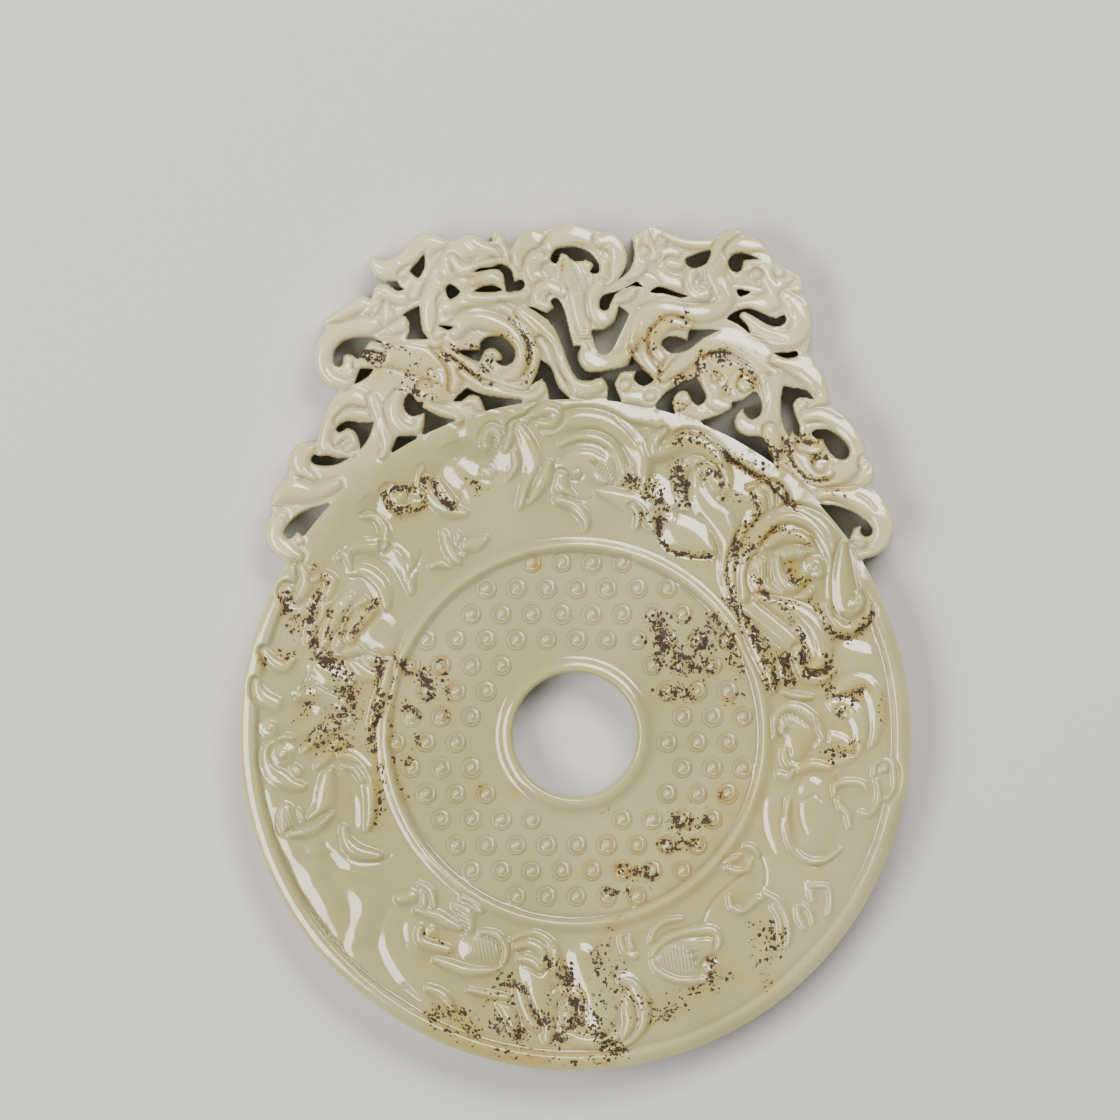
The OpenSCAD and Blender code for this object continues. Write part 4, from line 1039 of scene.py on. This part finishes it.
for points, ochre, dark in STAINS:
    tint(OCHRE, points, ochre, OCHRE_FADE)
    tint(SPECKS, points, dark, SPECKS_FADE)
for points, ochre, soft in WASHES:
    tint(OCHRE, points, ochre, soft)
for points, angle, pitch in HATCHES:
    win, gap = measured(smooth(points), HATCH_REACH)[:2]
    turned = X[win] * math.cos(math.radians(angle)) - Y[win] * math.sin(math.radians(angle))
    PHASE[win] = np.where(gap < HATCH_REACH, turned * 2 * math.pi / pitch, PHASE[win])
    HATCH[win] = np.maximum(HATCH[win], eased(-gap / HATCH_EASE))
# The hollow map also says where the stone is painted darker: partly dirt, partly painted shade.
HOLLOW = np.clip((softened(FRONT, HOLLOW_REACH) - FRONT) / HOLLOW_DEEP, 0, 1)
for x, y in GRAINS:
    win, off = around(x, y, 2 * GRAIN_R)
    ring = np.exp(-(((off - GRAIN_R + GRAIN_HOLLOW_IN) / GRAIN_HOLLOW_WIDE) ** 2))
    HOLLOW[win] = np.maximum(HOLLOW[win], ring)
# Where the crest is painted a paler cream: partly the stone's own tone, partly painted light.
CREST_PALE_AND_LIT = eased((R - SHEET_R + CREST_EASE / 2) / CREST_EASE)
stained = [round((field > 0)[EDGE < 0].mean() * 100, 1) for field in (OCHRE, SPECKS, HATCH)]
print("ochre, specks and hatching lie on", stained, "% of the stone")

# %% [markdown]
# ## From the map to one closed mesh
#
# Marching squares cut the map along EDGE = 0: whole cells become two triangles, and a cell that the
# outline crosses becomes a small polygon. The same outline is used for the front and the back, and
# wall faces join the two, so the stone is closed. Decimate then spends the triangles where the
# carving is, and leaves few on the flat back.

# %% Marching squares
def walk(case):
    """Corners 0 to 3 and crossed sides 4 to 7 of a cell, anticlockwise, for a pattern of solid corners."""
    round_trip = []
    for corner in range(4):
        here, following = case >> corner & 1, case >> (corner + 1) % 4 & 1
        if here:
            round_trip.append(corner)
        if here != following:
            round_trip.append(4 + corner)
    return round_trip


def plate_mesh(name, edge, front, back, most):
    """A closed mesh of the stone where edge is negative, with at most this many triangles."""
    solid = edge < 0
    layers = np.stack([X, Y, front, back], axis=-1)
    points = [layers[solid]]
    number = np.full(edge.shape, -1)
    number[solid] = np.arange(solid.sum())
    total = solid.sum()
    sides = []
    for a, b in ((np.s_[:, :-1], np.s_[:, 1:]), (np.s_[:-1, :], np.s_[1:, :])):
        cut = solid[a] != solid[b]
        share = (edge[a][cut] / (edge[a][cut] - edge[b][cut]))[:, None]
        points.append(layers[a][cut] * (1 - share) + layers[b][cut] * share)
        ids = np.full(cut.shape, -1)
        ids[cut] = total + np.arange(cut.sum())
        total += cut.sum()
        sides.append(ids)
    points = np.concatenate(points)
    lines, posts = sides
    cell = np.stack([
        number[:-1, :-1], number[:-1, 1:], number[1:, 1:], number[1:, :-1],
        lines[:-1, :], posts[:, 1:], lines[1:, :], posts[:, :-1],
    ], axis=-1)
    kind = sum(solid[a].astype(int) << k for k, a in enumerate(
        (np.s_[:-1, :-1], np.s_[:-1, 1:], np.s_[1:, 1:], np.s_[1:, :-1])))
    faces, walls = [], []
    full = cell[kind == 15][:, :4]
    bend = np.abs(points[full[:, 0], 2] - points[full[:, 2], 2]) > np.abs(
        points[full[:, 1], 2] - points[full[:, 3], 2])
    full[bend] = np.roll(full[bend], -1, axis=1)
    faces += [full[:, [0, 1, 2]], full[:, [0, 2, 3]]]
    for case in range(1, 15):
        cells, trip = cell[kind == case], walk(case)
        for k in range(1, len(trip) - 1):
            faces.append(cells[:, [trip[0], trip[k], trip[k + 1]]])
        for a, b in zip(trip, trip[1:] + trip[:1]):
            if a > 3 and b > 3:
                walls.append(cells[:, [a, b]])
    faces, walls = np.concatenate(faces), np.concatenate(walls)
    a, b = walls[:, 0], walls[:, 1]
    below = len(points)
    faces = np.concatenate([
        faces, faces[:, ::-1] + below,
        np.stack([b, a, a + below], axis=1), np.stack([b, a + below, b + below], axis=1),
    ])
    flat = np.stack([(points[:, 0] - SHEET_MID[0]) * UNIT, (SHEET_MID[1] - points[:, 1]) * UNIT], axis=1)
    places = np.concatenate([
        np.column_stack([flat, points[:, 2] * 1e-3]), np.column_stack([flat, points[:, 3] * 1e-3])])
    mesh = bpy.data.meshes.new(name)
    mesh.vertices.add(len(places))
    mesh.vertices.foreach_set("co", places.ravel())
    mesh.loops.add(faces.size)
    mesh.loops.foreach_set("vertex_index", faces.ravel().astype(np.int32))
    mesh.polygons.add(len(faces))
    mesh.polygons.foreach_set("loop_start", np.arange(0, faces.size, 3, dtype=np.int32))
    mesh.update(calc_edges=True)
    piece = bpy.data.objects.new(name, mesh)
    bpy.context.scene.collection.objects.link(piece)
    thinner = piece.modifiers.new("fewer triangles", "DECIMATE")
    thinner.ratio = min(1.0, most / len(faces))
    made = bpy.data.meshes.new_from_object(piece.evaluated_get(bpy.context.evaluated_depsgraph_get()))
    piece.modifiers.clear()
    piece.data = made
    bpy.data.meshes.remove(mesh)
    made.name = name
    made.polygons.foreach_set("use_smooth", np.ones(len(made.polygons), dtype=bool))
    print(name, "had", len(faces), "triangles and keeps", len(made.polygons))
    return piece


# %% Two closed meshes
PLATE_MOST, FIELD_MOST = 195000, 60000
PLATE_EDGE = np.maximum(EDGE, SEAM_R - R)
FIELD_EDGE = np.maximum(R - SEAM_R, BORE_R - R)
plate = plate_mesh("carved_plate", PLATE_EDGE, FRONT, BACK, PLATE_MOST)
field = plate_mesh("grain_field", FIELD_EDGE, FRONT, np.zeros(X.shape), FIELD_MOST)

# %% [markdown]
# ## Grains
#
# A grain is a small dome with a curled sprout, like a seed that starts to grow. It is modelled once,
# as a closed form whose underside is sunk in the field. Geometry Nodes lay out the staggered rows,
# drop what falls outside the field, and turn and size each grain a little, as hand work does.

# %% One grain
RINGS, SPOKES = 12, 28
DOME_R, DOME_H = 5.6, 0.32
TAIL_FROM, TAIL_TO, TAIL_TURN, TAIL_H, TAIL_WIDE = 4.6, 9.4, 0.7, 0.17, 1.0
SUNK = 0.04


def grain_height(off, turn):
    """Height in mm over the field at this distance and this share of a full turn."""
    dome = DOME_H * np.clip(1 - (off / DOME_R) ** 2, 0, 1) ** 1.2
    passed = min(turn / TAIL_TURN, 1)
    tail_at = TAIL_FROM + (TAIL_TO - TAIL_FROM) * passed
    tail = TAIL_H * (1 - passed**3) * np.exp(-(((off - tail_at) / TAIL_WIDE) ** 2))
    return np.maximum(dome, tail) - SUNK


def grain_mesh():
    """A closed grain: a centre point, rings of points and one point below."""
    points, faces = [(0, 0, grain_height(0, 0))], []
    for ring in range(1, RINGS + 1):
        off = GRAIN_R * ring / RINGS
        for spoke in range(SPOKES):
            angle = 2 * math.pi * spoke / SPOKES
            high = grain_height(off, spoke / SPOKES)
            points.append((off * math.cos(angle) * MM, off * math.sin(angle) * MM, high))
    below = len(points)
    points.append((0, 0, -3 * SUNK))
    for spoke in range(SPOKES):
        after = (spoke + 1) % SPOKES
        faces.append((0, 1 + spoke, 1 + after))
        for ring in range(RINGS - 1):
            a, b = 1 + ring * SPOKES + spoke, 1 + ring * SPOKES + after
            faces.append((a, a + SPOKES, b + SPOKES, b))
        outer = 1 + (RINGS - 1) * SPOKES
        faces.append((outer + after, outer + spoke, below))
    mesh = bpy.data.meshes.new("grain")
    mesh.from_pydata([[0.001 * v for v in p] for p in points], [], faces)
    mesh.polygons.foreach_set("use_smooth", np.ones(len(faces), dtype=bool))
    return mesh


grain = bpy.data.objects.new("grain", grain_mesh())
bpy.context.scene.collection.objects.link(grain)
print("one grain has", len(grain.data.polygons), "faces")

# %% Rows of grains, in Geometry Nodes
FIELD_Z = 0.004
SPROUT_TURN, SPROUT_SPREAD = 200, 50
SIZE_SPREAD = 0.12
SEED = 7
jade = bpy.data.materials.new("jade")


def grain_rows():
    """Node group that lays out the rows and ends in real, painted geometry."""
    group = bpy.data.node_groups.new("grain_rows", "GeometryNodeTree")
    group.is_modifier = True
    for name, kind in (
        ("Geometry", "Geometry"), ("Grain", "Object"), ("Column Gap", "Float"), ("Row Gap", "Float"),
        ("Start", "Vector"), ("From Radius", "Float"), ("To Radius", "Float"), ("Field Height", "Float"),
        ("Turn", "Float"), ("Turn Spread", "Float"), ("Size Spread", "Float"), ("Seed", "Int"),
        ("Material", "Material"),
    ):
        group.interface.new_socket(name, in_out="INPUT", socket_type="NodeSocket" + kind)
    group.interface.new_socket("Geometry", in_out="OUTPUT", socket_type="NodeSocketGeometry")
    given = group.nodes.new("NodeGroupInput")

    def add(kind, **settings):
        made = group.nodes.new(kind)
        for name, value in settings.items():
            setattr(made, name, value)
        return made

    def math_of(operation, first, second):
        made = add("ShaderNodeMath", operation=operation)
        for socket, value in zip(made.inputs, (first, second)):
            if isinstance(value, (int, float)):
                socket.default_value = value
            else:
                group.links.new(value, socket)
        return made.outputs[0]

    def wire(source, target):
        group.links.new(source, target)

    grid = add("GeometryNodeMeshGrid")
    grid.inputs["Vertices X"].default_value = GRAIN_ROWS
    grid.inputs["Vertices Y"].default_value = GRAIN_ROWS
    wire(math_of("MULTIPLY", given.outputs["Column Gap"], GRAIN_ROWS - 1), grid.inputs["Size X"])
    wire(math_of("MULTIPLY", given.outputs["Row Gap"], GRAIN_ROWS - 1), grid.inputs["Size Y"])

    place = add("GeometryNodeInputPosition")
    parts = add("ShaderNodeSeparateXYZ")
    wire(place.outputs[0], parts.inputs[0])
    row = math_of("ROUND", math_of("DIVIDE", parts.outputs["Y"], given.outputs["Row Gap"]), 0)
    odd = math_of("FLOORED_MODULO", row, 2)
    half_gap = math_of("MULTIPLY", given.outputs["Column Gap"], 0.5)
    shift = add("ShaderNodeCombineXYZ")
    wire(math_of("MULTIPLY", odd, half_gap), shift.inputs["X"])
    moved = add("ShaderNodeVectorMath", operation="ADD")
    wire(shift.outputs[0], moved.inputs[0])
    wire(given.outputs["Start"], moved.inputs[1])
    staggered = add("GeometryNodeSetPosition")
    wire(grid.outputs["Mesh"], staggered.inputs["Geometry"])
    wire(moved.outputs[0], staggered.inputs["Offset"])

    here = add("GeometryNodeInputPosition")
    length = add("ShaderNodeVectorMath", operation="LENGTH")
    wire(here.outputs[0], length.inputs[0])
    inner = math_of("LESS_THAN", length.outputs["Value"], given.outputs["From Radius"])
    outer = math_of("GREATER_THAN", length.outputs["Value"], given.outputs["To Radius"])
    kept = add("GeometryNodeDeleteGeometry", domain="POINT")
    wire(staggered.outputs["Geometry"], kept.inputs["Geometry"])
    wire(math_of("MAXIMUM", inner, outer), kept.inputs["Selection"])

    source = add("GeometryNodeObjectInfo")
    wire(given.outputs["Grain"], source.inputs["Object"])
    stood = add("GeometryNodeInstanceOnPoints")
    wire(kept.outputs["Geometry"], stood.inputs["Points"])
    wire(source.outputs["Geometry"], stood.inputs["Instance"])

    turn = add("FunctionNodeRandomValue", data_type="FLOAT")
    wire(math_of("SUBTRACT", given.outputs["Turn"], given.outputs["Turn Spread"]), turn.inputs[2])
    wire(math_of("ADD", given.outputs["Turn"], given.outputs["Turn Spread"]), turn.inputs[3])
    wire(given.outputs["Seed"], turn.inputs["Seed"])
    about = add("ShaderNodeCombineXYZ")
    wire(turn.outputs[1], about.inputs["Z"])
    wire(about.outputs[0], stood.inputs["Rotation"])

    size = add("FunctionNodeRandomValue", data_type="FLOAT")
    wire(math_of("SUBTRACT", 1.0, given.outputs["Size Spread"]), size.inputs[2])
    size.inputs[3].default_value = 1.0
    wire(math_of("ADD", given.outputs["Seed"], 1), size.inputs["Seed"])
    wire(size.outputs[1], stood.inputs["Scale"])

    up = add("ShaderNodeCombineXYZ")
    wire(given.outputs["Field Height"], up.inputs["Z"])
    raised = add("GeometryNodeTranslateInstances")
    raised.inputs["Local Space"].default_value = False
    wire(stood.outputs["Instances"], raised.inputs["Instances"])
    wire(up.outputs[0], raised.inputs["Translation"])
    real = add("GeometryNodeRealizeInstances")
    wire(raised.outputs["Instances"], real.inputs["Geometry"])
    painted = add("GeometryNodeSetMaterial")
    wire(real.outputs["Geometry"], painted.inputs["Geometry"])
    wire(given.outputs["Material"], painted.inputs["Material"])
    wire(painted.outputs["Geometry"], add("NodeGroupOutput").inputs["Geometry"])
    return group


def made_by_nodes(name, group, settings):
    """Evaluates the node group with these named inputs, and keeps the result as a plain mesh."""
    piece = bpy.data.objects.new(name, bpy.data.meshes.new(name))
    bpy.context.scene.collection.objects.link(piece)
    layout = piece.modifiers.new(name, "NODES")
    layout.node_group = group
    sockets = {item.name: item.identifier for item in group.interface.items_tree if item.in_out == "INPUT"}
    for key, value in settings.items():
        layout[sockets[key]] = value
    made = bpy.data.meshes.new_from_object(piece.evaluated_get(bpy.context.evaluated_depsgraph_get()))
    piece.modifiers.clear()
    piece.data = made
    made.name = name
    print(name, "has", len(made.polygons), "faces")
    return piece


grains = made_by_nodes("grains", grain_rows(), {
    "Grain": grain,
    "Column Gap": COLUMN_GAP * UNIT,
    "Row Gap": ROW_GAP * UNIT,
    "Start": ((GRAIN_START[0] - SHEET_MID[0]) * UNIT, (SHEET_MID[1] - GRAIN_START[1]) * UNIT, 0.0),
    "From Radius": GRAINS_FROM * UNIT,
    "To Radius": GRAINS_TO * UNIT,
    "Field Height": FIELD_Z,
    "Turn": math.radians(SPROUT_TURN),
    "Turn Spread": math.radians(SPROUT_SPREAD),
    "Size Spread": SIZE_SPREAD,
    "Seed": SEED,
    "Material": jade,
})
bpy.data.objects.remove(grain)

# %% [markdown]
# ## Reading the maps onto the pieces
#
# Every point of a piece looks up the stain, hollow and hatching maps at its own place. The material
# then works from these few values, and the pieces need no unwrapping. The two plates also take their
# normals from the height map and the outline, so that few triangles shine as the full map would.

# %% Point attributes
MAPS = {"ochre": OCHRE, "specks": SPECKS, "hollow": HOLLOW, "hatch": HATCH, "phase": PHASE}
BACK_BELOW = 0.002


def on_sheet(points):
    """Where points in metres lie on the sheet."""
    return points[:, 0] / UNIT + SHEET_MID[0], SHEET_MID[1] - points[:, 1] / UNIT


def looked_up(field, x, y):
    """Values of a map between its samples."""
    column = np.clip((x - COLS[0]) / STEP, 0, len(COLS) - 1.001)
    row = np.clip((ROWS[0] - y) / STEP, 0, len(ROWS) - 1.001)
    i, j = row.astype(int), column.astype(int)
    u, v = row - i, column - j
    low = field[i, j] * (1 - v) + field[i, j + 1] * v
    high = field[i + 1, j] * (1 - v) + field[i + 1, j + 1] * v
    return low * (1 - u) + high * u


RISE_Y, RISE_X = np.gradient(FRONT, STEP * MM)
WALL_EASE = 1.5
FACES_UP, ALONG_WALL = 0.25, 0.7


def dress(piece, thin):
    """Writes the maps as point attributes, and leaves the back plain."""
    points = points_of(piece.data)
    x, y = on_sheet(points)
    front = points[:, 2] > BACK_BELOW
    written = {name: looked_up(field, x, y) * front for name, field in MAPS.items()}
    written["crest_pale_and_lit"] = looked_up(CREST_PALE_AND_LIT, x, y)
    written["thin"] = np.full(len(points), thin)
    for name, values in written.items():
        layer = piece.data.attributes.new(name, "FLOAT", "POINT")
        layer.data.foreach_set("value", values.astype(np.float32))
    print(piece.name, "carries", len(written), "attributes on", len(points), "points")


def follow_map(piece, edge):
    """Gives the front the height map's normals, and the walls those of the outline."""
    mesh = piece.data
    x, y = on_sheet(points_of(mesh))
    mapped = np.stack([-looked_up(RISE_X, x, y), -looked_up(RISE_Y, x, y), np.ones(len(x))], axis=1)
    mapped /= np.linalg.norm(mapped, axis=1)[:, None]
    away_y, away_x = np.gradient(softened(edge, WALL_EASE), STEP)
    wall = np.stack([looked_up(away_x, x, y), looked_up(away_y, x, y), np.zeros(len(x))], axis=1)
    wall /= np.linalg.norm(wall, axis=1)[:, None] + 1e-9
    corner = np.empty(len(mesh.loops), dtype=np.int64)
    mesh.loops.foreach_get("vertex_index", corner)
    sizes = np.empty(len(mesh.polygons), dtype=np.int64)
    mesh.polygons.foreach_get("loop_total", sizes)
    flat = np.empty(3 * len(mesh.polygons))
    mesh.polygons.foreach_get("normal", flat)
    flat = np.repeat(flat.reshape(-1, 3), sizes, axis=0)
    front = (flat[:, 2] > FACES_UP)[:, None]
    follows = (wall[corner] * flat).sum(axis=1) > ALONG_WALL
    upright = (np.abs(flat[:, 2]) < FACES_UP) & follows
    normals = np.where(front, mapped[corner], np.where(upright[:, None], wall[corner], flat))
    mesh.normals_split_custom_set(normals)
    print(piece.name, "reflects by the map on", int(front.sum()), "corners")


for piece, thin in ((plate, 0.0), (field, 0.0), (grains, 1.0)):
    dress(piece, thin)
follow_map(plate, PLATE_EDGE)
follow_map(field, FIELD_EDGE)

# %% [markdown]
# ## Jade
#
# Nephrite is a felt of fine fibres: light enters it, spreads, and comes back out, and it takes a
# waxy, glossy polish. Its green is uneven, cloudier in some places, and a paler cream on the crest,
# where most of the least lit stone looks lighter than on the disc; that cream is partly the stone's
# own tone and partly painted light. The hollows are darker and browner, partly from dirt and partly
# as painted shade. The ochre halo follows its map, broken up by noise. Each speck is a cell of a
# fine scatter, drawn where its chance on the map is high enough, and crusts fill in between.
# Hatching is a ripple from its phase.

# %% Material
GREEN, PALE_GREEN = (0.335, 0.308, 0.145, 1), (0.40, 0.375, 0.205, 1)
# The crest's creams are paler partly for the stone's own tone and partly as painted light.
CREAM, PALE_CREAM = (0.44, 0.405, 0.225, 1), (0.55, 0.515, 0.32, 1)
HOLLOW_DIRT_AND_SHADE = (0.25, 0.205, 0.075, 1)
YELLOW_OCHRE, RUSTY_OCHRE = (0.37, 0.31, 0.06, 1), (0.36, 0.235, 0.024, 1)
DEEP_RUST = (0.33, 0.15, 0.008, 1)
DARK_BROWN, GREY_BROWN = (0.02, 0.007, 0.003, 1), (0.03, 0.017, 0.014, 1)
SPECK_SCALES = (2600.0, 4300.0)
POLISH, SPECK_DULL = 0.13, 0.8
COAT, COAT_POLISH = 0.5, 0.08
JADE_IOR = 1.61
GLOW, SPECK_GLOW_LESS = 0.7, 0.6
GLOW_REACH, GLOW_COLOURS = 0.0022, (1.0, 0.85, 0.45)
HATCH_HIGH, WEAR_HIGH = 0.00005, 0.000006


def jade_nodes(material):
    """Builds the jade shader."""
    material.use_nodes = True
    tree = material.node_tree
    shader = tree.nodes["Principled BSDF"]

    def put(socket, value):
        if isinstance(value, bpy.types.NodeSocket):
            tree.links.new(value, socket)
        else:
            socket.default_value = value

    def add(kind, settings=None, **inputs):
        made = tree.nodes.new(kind)
        for name, value in (settings or {}).items():
            setattr(made, name, value)
        for name, value in inputs.items():
            put(made.inputs[name.replace("_", " ")], value)
        return made

    def calc(operation, first, second, clamp=False):
        made = add("ShaderNodeMath", {"operation": operation, "use_clamp": clamp})
        put(made.inputs[0], first)
        put(made.inputs[1], second)
        return made.outputs[0]

    def blend(share, first, second):
        made = add("ShaderNodeMix", {"data_type": "RGBA"})
        put(made.inputs[0], share)
        put(made.inputs[6], first)
        put(made.inputs[7], second)
        return made.outputs[2]

    def ramp(value, low, high):
        made = add("ShaderNodeMapRange", {"interpolation_type": "SMOOTHSTEP"}, Value=value)
        made.inputs["From Min"].default_value = low
        made.inputs["From Max"].default_value = high
        return made.outputs[0]

    place = add("ShaderNodeTexCoord").outputs["Object"]

    def noise(scale, detail=2.0, rough=0.5):
        made = add("ShaderNodeTexNoise", Vector=place, Scale=scale, Detail=detail, Roughness=rough)
        return made.outputs["Fac"]

    def painted(name):
        return add("ShaderNodeAttribute", {"attribute_name": name}).outputs["Fac"]

    clouds = ramp(noise(55.0, 4.0), 0.35, 0.7)
    pale = blend(clouds, GREEN, PALE_GREEN)
    creamy = blend(clouds, CREAM, PALE_CREAM)
    # The crest is painted paler: partly its own creamier stone, partly painted light.
    stone = blend(painted("crest_pale_and_lit"), pale, creamy)
    hollow = painted("hollow")
    # Hollows are painted darker and browner: partly dirt that settled there, partly painted shade.
    stone = blend(calc("MULTIPLY", hollow, 0.4), stone, HOLLOW_DIRT_AND_SHADE)

    ochre = painted("ochre")
    cloudy = calc("ADD", 0.3, calc("MULTIPLY", ramp(noise(420.0, 5.0, 0.6), 0.36, 0.62), 0.7))
    halo = calc("ADD", calc("MULTIPLY", ochre, cloudy), calc("MULTIPLY", ochre, hollow), True)
    rust = blend(ramp(noise(260.0, 3.0), 0.4, 0.62), YELLOW_OCHRE, RUSTY_OCHRE)
    rust = blend(calc("MULTIPLY", hollow, 0.7), rust, DEEP_RUST)
    stone = blend(calc("MULTIPLY", halo, 0.76), stone, rust)

    amount = painted("specks")
    chance = calc("ADD", 0.22, calc("MULTIPLY", hollow, 0.55))
    chance = calc("ADD", chance, calc("MULTIPLY", ramp(noise(480.0), 0.46, 0.66), 0.55))
    chance = calc("MULTIPLY", amount, chance)
    dark = 0.0
    for scale in SPECK_SCALES:
        cells = add("ShaderNodeTexVoronoi", Vector=place, Scale=scale)
        luck = add("ShaderNodeSeparateColor", Color=cells.outputs["Color"]).outputs["Red"]
        drawn = ramp(calc("SUBTRACT", chance, luck), 0.0, 0.06)
        dot = calc("MULTIPLY", drawn, ramp(cells.outputs["Distance"], 0.7, 0.6))
        dark = calc("MAXIMUM", dark, dot)
    crust = calc("ADD", noise(1500.0, 4.0, 0.65), calc("MULTIPLY", noise(260.0), 0.3))
    crust = calc("ADD", crust, calc("MULTIPLY", amount, calc("ADD", 0.1, calc("MULTIPLY", hollow, 0.06))))
    dark = calc("MAXIMUM", dark, calc("MULTIPLY", ramp(crust, 0.785, 0.81), ramp(amount, 0.3, 0.7)))
    brown = blend(ramp(noise(330.0), 0.54, 0.66), DARK_BROWN, GREY_BROWN)
    stone = blend(calc("MULTIPLY", dark, 0.98), stone, brown)

    put(shader.inputs["Base Color"], stone)
    put(shader.inputs["Roughness"], calc("ADD", POLISH, calc("MULTIPLY", dark, SPECK_DULL)))
    put(shader.inputs["Coat Weight"], calc("SUBTRACT", COAT, calc("MULTIPLY", dark, COAT)))
    put(shader.inputs["Coat Roughness"], COAT_POLISH)
    put(shader.inputs["IOR"], JADE_IOR)
    waxy = calc("SUBTRACT", GLOW, calc("MULTIPLY", dark, SPECK_GLOW_LESS))
    put(shader.inputs["Subsurface Weight"], calc("MULTIPLY", waxy, calc("SUBTRACT", 1.0, painted("thin"))))
    put(shader.inputs["Subsurface Radius"], GLOW_COLOURS)
    put(shader.inputs["Subsurface Scale"], GLOW_REACH)

    ribs = add("ShaderNodeMath", {"operation": "SINE"})
    put(ribs.inputs[0], painted("phase"))
    relief = calc("MULTIPLY", calc("MULTIPLY", ribs.outputs[0], painted("hatch")), HATCH_HIGH)
    wear = calc("MULTIPLY", noise(900.0, 3.0), WEAR_HIGH)
    bump = add("ShaderNodeBump", Height=calc("ADD", relief, wear))
    bump.inputs["Distance"].default_value = 1.0
    bump.inputs["Strength"].default_value = 1.0
    put(shader.inputs["Normal"], bump.outputs["Normal"])


jade_nodes(jade)
for piece in (plate, field, grains):
    piece.data.materials.clear()
    piece.data.materials.append(jade)
    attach(piece, "root")
    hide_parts("jade_pendant")
print("jade:", len(jade.node_tree.nodes), "shader nodes")

# %% [markdown]
# ## Stage
#
# A plain pale floor and two wide soft boxes, one at the left and one at the upper right, give the
# long highlights on the slopes. The camera looks straight down on the carved face, as in the photo.

# %% Floor, camera and light
FLOOR, FLOOR_Z = 4.0, -0.0001
FLOOR_GREY, FLOOR_DULL = (0.5, 0.5, 0.5, 1), 0.8
bpy.ops.mesh.primitive_plane_add(size=FLOOR, location=(0, 0, FLOOR_Z))
floor = bpy.context.object
floor.name = "floor"
paint = bpy.data.materials.new("pale_floor")
paint.use_nodes = True
matt = paint.node_tree.nodes["Principled BSDF"]
matt.inputs["Base Color"].default_value = FLOOR_GREY
matt.inputs["Roughness"].default_value = FLOOR_DULL
floor.data.materials.append(paint)

PHOTO = 1120
FACE_Z = 0.005
LENS, SENSOR = 216.0, 36.0
view_width = PHOTO * UNIT
centre = ((PHOTO / 2 - SHEET_MID[0]) * UNIT, (SHEET_MID[1] - PHOTO / 2) * UNIT)
camera = bpy.data.objects.new("camera", bpy.data.cameras.new("camera"))
camera.data.lens = LENS
camera.data.sensor_width = SENSOR
camera.location = (centre[0], centre[1], FACE_Z + view_width * LENS / SENSOR)
bpy.context.scene.collection.objects.link(camera)
bpy.context.scene.camera = camera

WARM = (1.0, 0.975, 0.91)
LIGHTS = [
    ("key_left", (-0.31, -0.08, 0.38), 0.42, 0.24, 3.8),
    ("key_upper_right", (0.14, 0.29, 0.38), 0.36, 0.2, 3.4),
]
STUDIO_GREY, STUDIO_POWER = (0.8, 0.8, 0.8, 1), 0.3


def soft_light(name, place, wide, tall, power):
    """A soft box that faces the pendant."""
    data = bpy.data.lights.new(name, "AREA")
    data.shape = "RECTANGLE"
    data.size = wide
    data.size_y = tall
    data.energy = power
    data.color = WARM
    lamp = bpy.data.objects.new(name, data)
    lamp.location = place
    aim = mathutils.Vector((0, 0, 0)) - mathutils.Vector(place)
    lamp.rotation_euler = aim.to_track_quat("-Z", "Y").to_euler()
    bpy.context.scene.collection.objects.link(lamp)


for light in LIGHTS:
    soft_light(*light)
world = bpy.data.worlds.new("studio")
world.use_nodes = True
studio = world.node_tree.nodes["Background"]
studio.inputs["Color"].default_value = STUDIO_GREY
studio.inputs["Strength"].default_value = STUDIO_POWER
bpy.context.scene.world = world
print("stage: a floor, a camera and", len(LIGHTS), "soft boxes")
